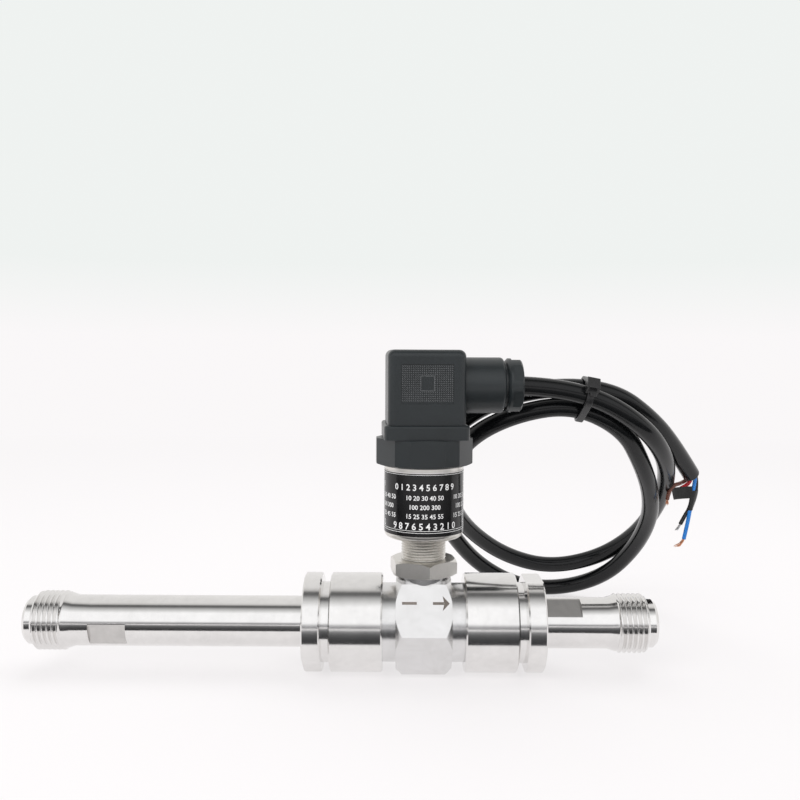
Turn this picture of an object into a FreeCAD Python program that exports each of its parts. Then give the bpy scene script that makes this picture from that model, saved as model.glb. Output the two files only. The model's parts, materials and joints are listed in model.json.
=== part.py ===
import FreeCAD
import Part
import Sketcher

import math
import os
import re

# Turbine flow meter with threaded pipe ends, a turned and milled steel body, a pickup sensor
# with a plug connector, and a coiled signal cable that props the meter from behind.
# Local frame of most pieces: X along the flow, Z up, origin where the sensor axis meets the
# pipe axis. Row frame: the floor is z = 0 and the middle of the overall length is x = 0.

os.makedirs("parts", exist_ok=True)
doc = FreeCAD.newDocument("TurbineFlowMeter")

# ---------------------------------------------------------------- driving dimensions, mm
driving = [
    ("axisHeight", 17.5, "pipe axis above the floor, the radius of the union nuts"),
    ("sensorX", 29.5, "sensor axis from the middle of the overall length"),
    ("inletReach", 142, "sensor axis to the inlet end"),
    ("outletReach", 83, "sensor axis to the outlet end"),
    ("pipeRadius", 9, "outside of both pipes"),
    ("pipeBore", 5, "bore radius of both pipes"),
    ("pipeAcross", 16, "across the wrench flats of the pipes"),
    ("threadRadius", 10.4775, "major radius of the G1/2 pipe thread"),
    ("threadLength", 10.8, "length of the G1/2 pipe thread"),
    ("noseRadius", 8.2, "plain nose beyond the pipe thread"),
    ("noseLength", 3.8, "length of that nose"),
    ("collarRadius", 13, "collar that the union nut pulls on"),
    ("collarInner", 28.5, "sensor axis to the sealing face of the collar"),
    ("collarOuter", 32, "sensor axis to the back of the collar"),
    ("nutRadius", 17.5, "outside of the union nuts"),
    ("nutInner", 14.5, "sensor axis to the near face of a union nut"),
    ("nutShoulder", 33, "end of the wide cylinder of a union nut"),
    ("nutRing", 36, "start of the outer ring of a union nut"),
    ("nutOuter", 42.4, "sensor axis to the far face of a union nut"),
    ("nutGroove", 14.2, "radius at the bottom of the groove of a union nut"),
    ("nutAcross", 32, "across the wrench flats of the outer ring"),
    ("neckRadius", 13.9, "threaded necks of the body"),
    ("neckReach", 27.5, "sensor axis to the end of a neck"),
    ("bodyAcross", 32, "across the flats of the hexagonal body"),
    ("bodyHalf", 9.8, "half length of the hexagon"),
    ("bodyChamfer", 2.2, "turned chamfer of the hexagon"),
    ("bossRadius", 9.5, "round seat on top of the body"),
    ("bossTop", 18, "pipe axis to the top of that seat"),
    ("rotorBore", 4, "measuring bore round the rotor"),
    ("guideBore", 5, "wider bore that holds the flow guides"),
    ("guideSeat", 9, "sensor axis to the shoulder of a flow guide"),
    ("guideEnd", 22.4, "sensor axis to the back of a flow guide"),
    ("hubRadius", 2.2, "hubs of the rotor and of the flow guides"),
    ("rotorHalf", 4, "half length of the rotor hub"),
    ("rotorTip", 3.82, "radius over the blades"),
    ("bladeHalf", 3.2, "half length of a blade along the flow"),
    ("bladeThick", 0.55, "thickness of a blade"),
    ("bladeCount", 5, "blades of the rotor"),
    ("shaftRadius", 0.5, "radius of the rotor shaft"),
    ("stemRadius", 8, "outside of the threaded stem"),
    ("stemBottom", 5.3, "pipe axis to the closed end of the stem"),
    ("stemTop", 34, "pipe axis to the top of the stem"),
    ("stemBore", 6, "inside radius of the stem"),
    ("lockAcross", 22, "across the flats of the lock nut"),
    ("lockTop", 23.5, "pipe axis to the top of the lock nut"),
    ("barrelRadius", 14, "outside of the sensor barrel"),
    ("barrelBottom", 31.5, "pipe axis to the bottom of the barrel"),
    ("barrelTop", 57, "pipe axis to the top of the barrel"),
    ("barrelBore", 12.4, "inside radius of the barrel"),
    ("plugYaw", 3.5, "turn of the plug connector about the sensor axis, degrees"),
    ("capAcross", 32.5, "across the flats of the plastic cap nut"),
    ("capCorner", 34.05, "across the cut corners of that nut"),
    ("capTop", 67, "pipe axis to the top of the cap nut"),
    ("skirtSide", 29.6, "side of the square skirt of the plug connector"),
    ("skirtTop", 72, "pipe axis to the top of the skirt"),
    ("plugSide", 27, "side of the plug connector"),
    ("plugTop", 98, "pipe axis to the top of the plug connector"),
    ("plugWall", 2.5, "wall of the plug connector"),
    ("glandHeight", 85.4, "pipe axis to the cable gland axis"),
    ("stubRadius", 10, "round stub that takes the gland"),
    ("stubReach", 28, "sensor axis to the end of the stub"),
    ("stubBore", 8, "inside radius of the stub"),
    ("glandInner", 29, "sensor axis to the head of the gland nut"),
    ("glandOuter", 34.3, "sensor axis to the outer face of the gland nut"),
    ("glandRadius", 9.7, "head of the gland nut"),
    ("glandAcross", 18.3, "across the flats of the gland nut"),
    ("cableRadius", 3.5, "outside of the signal cable"),
    ("wireRadius", 0.8, "outside of a single wire"),
]
sheet = doc.addObject("Spreadsheet::Sheet", "Sizes")
for row, (alias, value, note) in enumerate(driving, start=1):
    sheet.set("A%d" % row, note)
    sheet.set("B%d" % row, str(value))
    sheet.setAlias("B%d" % row, alias)
doc.recompute()

aliases = {alias for alias, value, note in driving}
xAxis = FreeCAD.Vector(1, 0, 0)
yAxis = FreeCAD.Vector(0, 1, 0)
zAxis = FreeCAD.Vector(0, 0, 1)


def bound(formula):
    """A formula of sheet names as an expression that other objects can hold."""
    return re.sub(r"[A-Za-z]\w*", lambda m: "Sizes." + m[0] if m[0] in aliases else m[0], formula)


def size(formula):
    """The value of such a formula, in mm."""
    return float(sheet.evalExpression(formula))


# ---------------------------------------------------------------- building with features
def newBody(label, plug=False):
    """An empty body seated on the sensor axis; plug pieces share the connector's turn."""
    body = doc.addObject("PartDesign::Body", label)
    body.Label = label
    if plug:
        body.Placement.Rotation = FreeCAD.Rotation(zAxis, size("plugYaw"))
        body.setExpression("Placement.Rotation.Angle", "Sizes.plugYaw * 1 deg")
    body.setExpression("Placement.Base.x", "Sizes.sensorX")
    body.setExpression("Placement.Base.z", "Sizes.axisHeight")
    return body


def datum(body, role):
    """The origin plane or axis of a body that has this role."""
    return next(o for o in body.Origin.OriginFeatures if o.Role == role)


def newSketch(body, plane, level="0", turn=0):
    """A sketch on an origin plane, moved along its normal and turned about it."""
    sketch = body.newObject("Sketcher::SketchObject", body.Name + "Sketch")
    sketch.AttachmentSupport = (datum(body, plane), "")
    sketch.MapMode = "FlatFace"
    turned = FreeCAD.Rotation(zAxis, turn)
    sketch.AttachmentOffset = FreeCAD.Placement(FreeCAD.Vector(0, 0, size(level)), turned)
    sketch.setExpression("AttachmentOffset.Base.z", bound(level))
    return sketch


def hold(sketch, kind, geometry, point, formula):
    """Tie one coordinate of a sketch point to a formula of the sheet."""
    value = size(formula)
    if abs(value) < 1e-9:
        axis = -2 if kind == "DistanceX" else -1
        sketch.addConstraint(Sketcher.Constraint("PointOnObject", geometry, point, axis))
        return
    index = sketch.addConstraint(Sketcher.Constraint(kind, -1, 1, geometry, point, value))
    sketch.setExpression("Constraints[%d]" % index, bound(formula))


def drawOutline(sketch, corners):
    """A closed outline whose corners are pairs of formulas."""
    spots = [FreeCAD.Vector(size(x), size(y), 0) for x, y in corners]
    first = sketch.GeometryCount
    count = len(spots)
    for i in range(count):
        sketch.addGeometry(Part.LineSegment(spots[i], spots[(i + 1) % count]), False)
    for i in range(count):
        joined = first + (i + 1) % count
        sketch.addConstraint(Sketcher.Constraint("Coincident", first + i, 2, joined, 1))
    for i, (x, y) in enumerate(corners):
        hold(sketch, "DistanceX", first + i, 1, x)
        hold(sketch, "DistanceY", first + i, 1, y)


def drawBox(sketch, x0, x1, y0, y1):
    """A rectangle between four formulas."""
    drawOutline(sketch, [(x0, y0), (x1, y0), (x1, y1), (x0, y1)])


def drawCircle(sketch, radius, x="0", y="0"):
    """A circle whose radius and centre are formulas."""
    centre = FreeCAD.Vector(size(x), size(y), 0)
    index = sketch.addGeometry(Part.Circle(centre, zAxis, size(radius)), False)
    hold(sketch, "DistanceX", index, 3, x)
    hold(sketch, "DistanceY", index, 3, y)
    ring = sketch.addConstraint(Sketcher.Constraint("Radius", index, size(radius)))
    sketch.setExpression("Constraints[%d]" % ring, bound(radius))


def drawHexagon(sketch, across):
    """A hexagon with flats square to the sketch's second axis."""
    half = "(%s) / 2" % across
    side = "(%s) / sqrt(12)" % across
    corners = [("2 * " + side, "0"), (side, half), ("-1 * " + side, half)]
    corners += [("-2 * " + side, "0"), ("-1 * " + side, "-1 * " + half), (side, "-1 * " + half)]
    drawOutline(sketch, corners)


def turned(body, role, outline, cut=False):
    """Turn a half outline of (along, radius) formulas about the X or the Z axis."""
    sketch = newSketch(body, "XZ_Plane")
    if role == "X_Axis":
        drawOutline(sketch, outline)
    else:
        drawOutline(sketch, [(radius, along) for along, radius in outline])
    before = body.Shape.Volume if cut else 0
    kind = "PartDesign::Groove" if cut else "PartDesign::Revolution"
    feature = body.newObject(kind, body.Name + ("Groove" if cut else "Turning"))
    feature.Profile = sketch
    feature.ReferenceAxis = (datum(body, role), [""])
    feature.Angle = 360
    settle(body, before, cut)
    return feature


def pad(body, sketch, length):
    """Raise a sketch along its normal by a formula."""
    feature = body.newObject("PartDesign::Pad", body.Name + "Pad")
    feature.Profile = sketch
    feature.Length = size(length)
    feature.setExpression("Length", bound(length))
    settle(body)
    return feature


def pocket(body, sketch, length):
    """Cut along the sketch's normal by a formula, and make sure that it removes metal."""
    before = body.Shape.Volume
    feature = body.newObject("PartDesign::Pocket", body.Name + "Pocket")
    feature.Profile = sketch
    feature.Reversed = True
    feature.Length = size(length)
    feature.setExpression("Length", bound(length))
    settle(body, before, True)
    return feature


def settle(body, before=0, cut=False):
    """Recompute after a feature; a cut has to leave less than there was."""
    doc.recompute()
    for feature in body.Group:
        if "Invalid" in feature.State or "Error" in feature.State:
            raise RuntimeError("%s: %s failed" % (body.Label, feature.Name))
    if cut and not body.Shape.Volume < before - 1e-3:
        raise RuntimeError(body.Label + ": a cut removed nothing")


def repeat(body, feature, role, count):
    """Repeat a feature round an axis, evenly over the whole turn."""
    pattern = body.newObject("PartDesign::PolarPattern", body.Name + "Pattern")
    pattern.Originals = [feature]
    pattern.Axis = (datum(body, role), [""])
    pattern.Angle = 360
    pattern.Occurrences = count
    body.Tip = pattern
    settle(body)
    return pattern


def dress(body, kind, amount, chosen):
    """Fillet or chamfer the edges of a body that a test picks."""
    edges = body.Shape.Edges
    names = ["Edge%d" % (i + 1) for i, edge in enumerate(edges) if chosen(edge)]
    base = body.Tip
    feature = body.newObject("PartDesign::" + kind, body.Name + kind)
    feature.Base = (base, names)
    if kind == "Fillet":
        feature.Radius = amount
    else:
        feature.Size = amount
    settle(body)
    return feature


def localBox(body, edge):
    """The box of an edge in the body's own frame."""
    moved = edge.copy()
    moved.transformShape(body.Placement.inverse().toMatrix())
    return moved.BoundBox


def ring(label, role, low, high, inner, outer, plug=False):
    """A plain ring or disc between two levels along an axis."""
    body = newBody(label, plug)
    turned(body, role, [(low, inner), (high, inner), (high, outer), (low, outer)])
    return body


# ---------------------------------------------------------------- pipes and unions
def threadedPipe(label, side, reach, flatStart, flatLength, flatTurn):
    """One pipe: side is -1 for the inlet and 1 for the outlet, and reach is to its end."""
    along = "%d * " % side
    thread = along + "(%s - noseLength)" % reach
    root = along + "(%s - noseLength - threadLength)" % reach
    cone = along + "(%s - noseLength - threadLength - 3)" % reach
    outline = [
        (along + "collarInner", "pipeBore"),
        (along + "collarInner", "collarRadius - 0.4"),
        (along + "(collarInner + 0.4)", "collarRadius"),
        (along + "(collarOuter - 0.4)", "collarRadius"),
        (along + "collarOuter", "collarRadius - 0.4"),
        (along + "collarOuter", "pipeRadius"),
        (cone, "pipeRadius"),
        (root, "threadRadius - 0.5"),
        (root + " + %d * 0.5" % side, "threadRadius"),
        (thread + " - %d * 0.9" % side, "threadRadius"),
        (thread, "threadRadius - 0.9"),
        (thread, "noseRadius"),
        (along + "(%s - 0.6)" % reach, "noseRadius"),
        (along + reach, "noseRadius - 0.6"),
        (along + reach, "pipeBore + 0.8"),
        (along + "(%s - 0.8)" % reach, "pipeBore"),
    ]
    body = newBody(label)
    turned(body, "X_Axis", outline)
    flats = newSketch(body, "YZ_Plane", flatStart, flatTurn)
    drawBox(flats, "-12", "12", "pipeAcross / 2", "12")
    drawBox(flats, "-12", "12", "-12", "-1 * pipeAcross / 2")
    pocket(body, flats, flatLength)
    return body


def unionNut(label, side, flatTurn):
    """A round union nut with a groove and an outer ring that carries two wrench flats."""
    along = "%d * " % side
    outline = [
        (along + "nutInner", "neckRadius + 0.1"),
        (along + "nutInner", "nutRadius - 0.5"),
        (along + "(nutInner + 0.5)", "nutRadius"),
        (along + "(nutShoulder - 0.5)", "nutRadius"),
        (along + "nutShoulder", "nutRadius - 0.5"),
        (along + "nutShoulder", "nutGroove"),
        (along + "nutRing", "nutGroove"),
        (along + "nutRing", "nutRadius - 0.5"),
        (along + "(nutRing + 0.5)", "nutRadius"),
        (along + "(nutOuter - 0.5)", "nutRadius"),
        (along + "nutOuter", "nutRadius - 0.5"),
        (along + "nutOuter", "threadRadius + 0.3"),
        (along + "collarOuter", "threadRadius + 0.3"),
        (along + "collarOuter", "neckRadius + 0.1"),
    ]
    body = newBody(label)
    turned(body, "X_Axis", outline)
    start = "nutRing - 0.5" if side > 0 else "-1 * (nutOuter + 1)"
    flats = newSketch(body, "YZ_Plane", start, flatTurn)
    drawBox(flats, "-20", "20", "nutAcross / 2", "20")
    drawBox(flats, "-20", "20", "-20", "-1 * nutAcross / 2")
    pocket(body, flats, "nutOuter - nutRing + 1.5")
    return body


threadedPipe("inlet_pipe", -1, "inletReach", "-118.3", "13.3", 110.5)
threadedPipe("outlet_pipe", 1, "outletReach", "nutOuter - 3", "16.6", 34)
unionNut("inlet_union_nut", -1, 142)
unionNut("outlet_union_nut", 1, 0)
ring("inlet_gasket", "X_Axis", "-1 * collarInner", "-1 * neckReach", "7", "collarRadius - 0.5")
ring("outlet_gasket", "X_Axis", "neckReach", "collarInner", "7", "collarRadius - 0.5")


# ---------------------------------------------------------------- meter body and its bore
def meterBody():
    """Hexagon bar turned down to two threaded necks, with the stepped measuring bore."""
    body = newBody("meter_body")
    corner = "bodyAcross / sqrt(3)"
    outline = [
        ("-1 * neckReach", "0"),
        ("-1 * neckReach", "neckRadius - 0.8"),
        ("-1 * neckReach + 0.8", "neckRadius"),
        ("-1 * bodyHalf", "neckRadius"),
        ("-1 * bodyHalf", corner + " - bodyChamfer"),
        ("-1 * bodyHalf + bodyChamfer", corner),
        ("bodyHalf - bodyChamfer", corner),
        ("bodyHalf", corner + " - bodyChamfer"),
        ("bodyHalf", "neckRadius"),
        ("neckReach - 0.8", "neckRadius"),
        ("neckReach", "neckRadius - 0.8"),
        ("neckReach", "0"),
    ]
    turned(body, "X_Axis", outline)
    hexagon = newSketch(body, "YZ_Plane", "-1 * bodyHalf")
    drawCircle(hexagon, "bodyAcross")
    drawHexagon(hexagon, "bodyAcross")
    pocket(body, hexagon, "2 * bodyHalf")
    seat = newSketch(body, "XY_Plane", "neckRadius")
    drawCircle(seat, "bossRadius")
    pad(body, seat, "bossTop - neckRadius")
    bore = [
        ("-1 * neckReach - 1", "0"),
        ("-1 * neckReach - 1", "guideBore"),
        ("-1 * guideEnd - 1", "guideBore"),
        ("-1 * guideEnd - 1", "guideBore + 0.7"),
        ("-1 * guideEnd", "guideBore + 0.7"),
        ("-1 * guideEnd", "guideBore"),
        ("-1 * guideSeat", "guideBore"),
        ("-1 * guideSeat", "rotorBore"),
        ("guideSeat", "rotorBore"),
        ("guideSeat", "guideBore"),
        ("guideEnd", "guideBore"),
        ("guideEnd", "guideBore + 0.7"),
        ("guideEnd + 1", "guideBore + 0.7"),
        ("guideEnd + 1", "guideBore"),
        ("neckReach + 1", "guideBore"),
        ("neckReach + 1", "0"),
    ]
    turned(body, "X_Axis", bore, cut=True)
    well = newSketch(body, "XY_Plane", "stemBottom - 0.1")
    drawCircle(well, "stemRadius")
    pocket(body, well, "bossTop")
    return body


def flowGuide(label, side):
    """A bullet with four vanes that straightens the flow and carries a shaft bush."""
    along = "%d * " % side
    outline = [
        (along + "(rotorHalf + 0.5)", "1.2"),
        (along + "(rotorHalf + 0.5)", "hubRadius - 0.2"),
        (along + "(rotorHalf + 0.7)", "hubRadius"),
        (along + "(guideEnd - 6)", "hubRadius"),
        (along + "(guideEnd - 3)", "hubRadius * 0.82"),
        (along + "(guideEnd - 0.8)", "hubRadius * 0.4"),
        (along + "guideEnd", "0"),
        (along + "(rotorHalf + 7)", "0"),
        (along + "(rotorHalf + 7)", "1.2"),
    ]
    body = newBody(label)
    turned(body, "X_Axis", outline)
    start = "guideSeat + 0.03" if side > 0 else "-1 * guideEnd + 0.03"
    blade = newSketch(body, "YZ_Plane", start, 45)
    drawBox(blade, "-0.4", "0.4", "1.7", "guideBore - 0.04")
    vane = pad(body, blade, "guideEnd - guideSeat - 0.06")
    repeat(body, vane, "X_Axis", 4)
    return body


def retainingRing(label, side):
    """An open spring ring in the groove behind a flow guide."""
    low = "%d * guideEnd" % side if side > 0 else "-1 * guideEnd - 0.9"
    body = newBody(label)
    sketch = newSketch(body, "YZ_Plane", low)
    drawCircle(sketch, "guideBore + 0.6")
    drawCircle(sketch, "guideBore - 0.5")
    pad(body, sketch, "0.9")
    gap = newSketch(body, "YZ_Plane", low + " - 0.1")
    drawBox(gap, "-1.1", "1.1", "-7", "0")
    pocket(body, gap, "1.1")
    return body


meterBody()
flowGuide("front_flow_guide", -1)
flowGuide("rear_flow_guide", 1)
ring("front_bush", "X_Axis", "-1 * rotorHalf - 6", "-1 * rotorHalf - 0.3", "shaftRadius + 0.03", "1.2")
ring("rear_bush", "X_Axis", "rotorHalf + 0.3", "rotorHalf + 6", "shaftRadius + 0.03", "1.2")
retainingRing("front_retaining_ring", -1)
retainingRing("rear_retaining_ring", 1)


# ---------------------------------------------------------------- rotor
def rotor():
    """Hub with helical blades, lofted through sections that turn as they go along the flow."""
    body = newBody("rotor")
    outline = [
        ("-1 * rotorHalf", "shaftRadius"),
        ("-1 * rotorHalf", "hubRadius - 0.4"),
        ("-1 * rotorHalf + 0.4", "hubRadius"),
        ("rotorHalf - 0.4", "hubRadius"),
        ("rotorHalf", "hubRadius - 0.4"),
        ("rotorHalf", "shaftRadius"),
    ]
    turned(body, "X_Axis", outline)
    twist = 86
    sections = []
    for step in range(5):
        part = step / 2 - 1
        section = newSketch(body, "YZ_Plane", "%g * bladeHalf" % part, twist * part / 2)
        drawBox(section, "-1 * bladeThick / 2", "bladeThick / 2", "hubRadius - 0.5", "rotorTip")
        sections.append(section)
    blade = body.newObject("PartDesign::AdditiveLoft", "RotorBlade")
    blade.Profile = sections[0]
    blade.Sections = sections[1:]
    settle(body)
    repeat(body, blade, "X_Axis", int(size("bladeCount")))
    return body


rotor()
ring("rotor_shaft", "X_Axis", "-1 * rotorHalf - 5.5", "rotorHalf + 5.5", "0", "shaftRadius")


# ---------------------------------------------------------------- pickup sensor
def sensorStem():
    """Thin threaded tube, closed at the bottom, that holds the pickup coil."""
    body = newBody("sensor_stem")
    outline = [
        ("stemBottom", "0"),
        ("stemBottom", "stemRadius - 0.55"),
        ("stemBottom + 0.5", "stemRadius - 0.05"),
        ("stemTop", "stemRadius - 0.05"),
        ("stemTop", "stemBore"),
        ("stemBottom + 0.8", "stemBore"),
        ("stemBottom + 0.8", "0"),
    ]
    turned(body, "Z_Axis", outline)
    return body


def lockNut():
    """Hexagon nut, chamfered on both faces, that locks the stem."""
    body = newBody("lock_nut")
    blank = newSketch(body, "XY_Plane", "bossTop", -21)
    drawHexagon(blank, "lockAcross")
    pad(body, blank, "lockTop - bossTop")
    corner = "lockAcross / sqrt(3)"
    for face, inward in (("bossTop", "+"), ("lockTop", "-")):
        edge = [
            (face, corner + " - 1.5"),
            ("%s %s 0.9" % (face, inward), corner + " + 0.1"),
            (face, corner + " + 0.1"),
        ]
        turned(body, "Z_Axis", edge, cut=True)
    hole = newSketch(body, "XY_Plane", "bossTop - 1")
    drawCircle(hole, "stemRadius")
    pocket(body, hole, "lockTop")
    return body


def sensorBarrel():
    """Open steel cup with a rounded lower edge."""
    body = newBody("sensor_barrel")
    outline = [
        ("barrelBottom", "stemRadius"),
        ("barrelBottom", "barrelRadius"),
        ("barrelTop", "barrelRadius"),
        ("barrelTop", "barrelBore"),
        ("barrelBottom + 2.5", "barrelBore"),
        ("barrelBottom + 2.5", "stemRadius"),
    ]
    turned(body, "Z_Axis", outline)
    low = size("barrelBottom")
    wide = 2 * size("barrelRadius")

    def lowerEdge(edge):
        box = localBox(body, edge)
        return abs(box.ZMin - low) < 0.01 and abs(box.ZMax - low) < 0.01 and box.XLength > wide - 0.1

    dress(body, "Fillet", 1.8, lowerEdge)
    return body


def circuitBoard():
    """Upright board inside the barrel."""
    body = newBody("circuit_board")
    board = newSketch(body, "XZ_Plane", "-0.8")
    drawBox(board, "-10", "10", "35", "51.5")
    pad(body, board, "1.6")
    return body


def boardComponents():
    """Chips and capacitors on the front face of the board."""
    body = newBody("board_components")
    places = [(-7, -2, 38, 43), (1, 7, 38, 42), (-6, -4, 46, 50), (-1, 1, 46, 50), (4, 8, 45, 49)]
    chips = newSketch(body, "XZ_Plane", "0.8")
    for x0, x1, z0, z1 in places:
        drawBox(chips, str(x0), str(x1), str(z0), str(z1))
    body.AllowCompound = True
    pad(body, chips, "1.2")
    return body


def bobbin():
    """Flanged former of the pickup coil."""
    outline = [
        ("7", "1.55"),
        ("7", "5.6"),
        ("8", "5.6"),
        ("8", "2.5"),
        ("16", "2.5"),
        ("16", "5.6"),
        ("17", "5.6"),
        ("17", "1.55"),
    ]
    body = newBody("coil_bobbin")
    turned(body, "Z_Axis", outline)
    return body


sensorStem()
lockNut()
bobbin()
ring("coil_winding", "Z_Axis", "8", "16", "2.5", "5.2")
ring("pole_piece", "Z_Axis", "6.3", "17.5", "0", "1.5")
ring("pickup_magnet", "Z_Axis", "17.5", "23", "0", "3")
sensorBarrel()
circuitBoard()
boardComponents()
ring("label_wrap", "Z_Axis", "33.6", "55.4", "barrelRadius + 0.01", "barrelRadius + 0.16")
ring("barrel_seal", "Z_Axis", "barrelTop - 1.6", "barrelTop", "11", "barrelBore - 0.02")


# ---------------------------------------------------------------- plug connector
def capNut():
    """Plastic hexagon cap with cut corners, which carries the contact blades."""
    body = newBody("cap_nut", plug=True)
    blank = newSketch(body, "XY_Plane", "barrelTop")
    drawHexagon(blank, "capAcross")
    pad(body, blank, "capTop - barrelTop")
    corners = newSketch(body, "XY_Plane", "barrelTop", 30)
    drawCircle(corners, "capAcross")
    drawHexagon(corners, "capCorner")
    pocket(body, corners, "capTop - barrelTop")
    lower = [
        ("barrelTop", "barrelRadius + 0.6"),
        ("barrelTop + 1.6", "capAcross * 0.6"),
        ("barrelTop", "capAcross * 0.6"),
    ]
    turned(body, "Z_Axis", lower, cut=True)
    upper = [
        ("capTop", "capAcross / 2"),
        ("capTop - 0.6", "capAcross * 0.6"),
        ("capTop", "capAcross * 0.6"),
    ]
    turned(body, "Z_Axis", upper, cut=True)
    spigot = newSketch(body, "XY_Plane", "barrelTop - 5")
    drawCircle(spigot, "10.9")
    pad(body, spigot, "5")
    platform = newSketch(body, "XY_Plane", "capTop")
    drawBox(platform, "-8.5", "8.5", "-8.5", "8.5")
    pad(body, platform, "2.5")
    thread = newSketch(body, "XY_Plane", "capTop - 5")
    drawCircle(thread, "1.5")
    pocket(body, thread, "8")
    slots = newSketch(body, "XY_Plane", "capTop - 7")
    for x0, x1, y0, y1 in bladePlaces():
        drawBox(slots, x0, x1, y0, y1)
    pocket(body, slots, "10")
    return body


def bladePlaces():
    """The three flat contacts and the wider earth contact, as boxes of formulas."""
    return [
        ("-5.4", "-4.6", "-3.2", "3.2"),
        ("4.6", "5.4", "-3.2", "3.2"),
        ("-3.2", "3.2", "4.6", "5.4"),
        ("-3.2", "3.2", "-5.4", "-4.6"),
    ]


def contactBlades():
    """Contacts that stand up from the cap nut into the connector's insert."""
    body = newBody("contact_blades", plug=True)
    sketch = newSketch(body, "XY_Plane", "capTop - 7")
    for x0, x1, y0, y1 in bladePlaces():
        drawBox(sketch, x0, x1, y0, y1)
    body.AllowCompound = True
    pad(body, sketch, "17")
    return body


def profileGasket():
    """Flat square gasket between the cap nut and the plug connector."""
    body = newBody("profile_gasket", plug=True)
    sketch = newSketch(body, "XY_Plane", "capTop")
    drawBox(sketch, "-12", "12", "-12", "12")
    drawBox(sketch, "-8.7", "8.7", "-8.7", "8.7")
    pad(body, sketch, "1.5")
    return body


def contactInsert():
    """Terminal block that the housing snaps over, with a slot for each blade."""
    body = newBody("contact_insert", plug=True)
    block = newSketch(body, "XY_Plane", "capTop + 2.5")
    drawBox(block, "-10.8", "10.8", "-10.8", "10.8")
    pad(body, block, "13")
    slots = newSketch(body, "XY_Plane", "capTop + 2")
    for x0, x1, y0, y1 in bladePlaces():
        drawBox(slots, x0 + " - 0.1", x1 + " + 0.1", y0 + " - 0.1", y1 + " + 0.1")
    pocket(body, slots, "9")
    screw = newSketch(body, "XY_Plane", "capTop + 2")
    drawCircle(screw, "1.7")
    pocket(body, screw, "14")
    wells = newSketch(body, "XY_Plane", "capTop + 12.5")
    for x, y in terminalPlaces():
        drawCircle(wells, "1.9", x, y)
    pocket(body, wells, "4")
    return body


def terminalPlaces():
    """The four clamp screws of the terminal block."""
    return [("-7.2", "-7.2"), ("7.2", "-7.2"), ("7.2", "7.2"), ("-7.2", "7.2")]


def terminalScrews():
    """Slotted clamp screws in the wells of the terminal block."""
    body = newBody("terminal_screws", plug=True)
    heads = newSketch(body, "XY_Plane", "capTop + 12.5")
    for x, y in terminalPlaces():
        drawCircle(heads, "1.75", x, y)
    body.AllowCompound = True
    pad(body, heads, "2.4")
    slots = newSketch(body, "XY_Plane", "capTop + 14.2")
    for x, y in terminalPlaces():
        drawBox(slots, x + " - 2", x + " + 2", y + " - 0.25", y + " + 0.25")
    pocket(body, slots, "2")
    return body


def plugHousing():
    """Moulded angled housing with a skirt, a cable stub and a shallow panel on its front."""
    body = newBody("plug_housing", plug=True)
    half = "plugSide / 2"
    main = newSketch(body, "XY_Plane", "capTop")
    drawBox(main, "-1 * " + half, half, "-1 * " + half, half)
    pad(body, main, "plugTop - capTop")
    high = size("skirtTop")
    top = size("plugTop")
    reach = size("plugSide") / 2

    def upright(edge):
        return localBox(body, edge).ZLength > 1

    dress(body, "Fillet", 2.8, upright)

    def topRim(edge):
        return localBox(body, edge).ZMin > top - 0.01

    dress(body, "Fillet", 2.4, topRim)
    skirt = newSketch(body, "XY_Plane", "capTop")
    drawBox(skirt, "-1 * skirtSide / 2", "skirtSide / 2", "-1 * skirtSide / 2", "skirtSide / 2")
    pad(body, skirt, "skirtTop - capTop")

    def skirtCorner(edge):
        box = localBox(body, edge)
        return box.ZLength > 1 and box.ZMax < high + 0.01

    dress(body, "Fillet", 3, skirtCorner)

    def skirtRim(edge):
        box = localBox(body, edge)
        outside = max(box.XMax, box.YMax, -box.XMin, -box.YMin) > reach + 0.1
        return outside and abs(box.ZMin - high) < 0.01 and box.ZLength < 0.01

    dress(body, "Fillet", 0.8, skirtRim)
    stub = newSketch(body, "YZ_Plane", "8")
    drawCircle(stub, "stubRadius", "0", "glandHeight")
    pad(body, stub, "stubReach - 8")
    end = size("stubReach")

    def stubRim(edge):
        return localBox(body, edge).XMin > end - 0.01

    dress(body, "Fillet", 1.2, stubRim)
    inside = "plugSide / 2 - plugWall"
    hollow = newSketch(body, "XY_Plane", "capTop - 1")
    drawBox(hollow, "-1 * (%s)" % inside, inside, "-1 * (%s)" % inside, inside)
    pocket(body, hollow, "plugTop - plugWall - capTop - 2")
    mouth = newSketch(body, "XY_Plane", "capTop - 1")
    drawBox(mouth, "-12.1", "12.1", "-12.1", "12.1")
    pocket(body, mouth, "2.6")
    passage = newSketch(body, "YZ_Plane", "8")
    drawCircle(passage, "4.5", "0", "glandHeight")
    pocket(body, passage, "stubReach")
    seat = newSketch(body, "YZ_Plane", "17")
    drawCircle(seat, "stubBore", "0", "glandHeight")
    pocket(body, seat, "stubReach")
    screw = newSketch(body, "XY_Plane", "plugTop - 8")
    drawCircle(screw, "1.7")
    pocket(body, screw, "12")
    head = newSketch(body, "XY_Plane", "plugTop - 2.2")
    drawCircle(head, "3.8")
    pocket(body, head, "4")
    panel = newSketch(body, "XZ_Plane", "plugSide / 2 - 0.35")
    drawBox(panel, "-9", "9", "glandHeight - 6", "glandHeight + 7.6")
    pocket(body, panel, "2")
    return body


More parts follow.
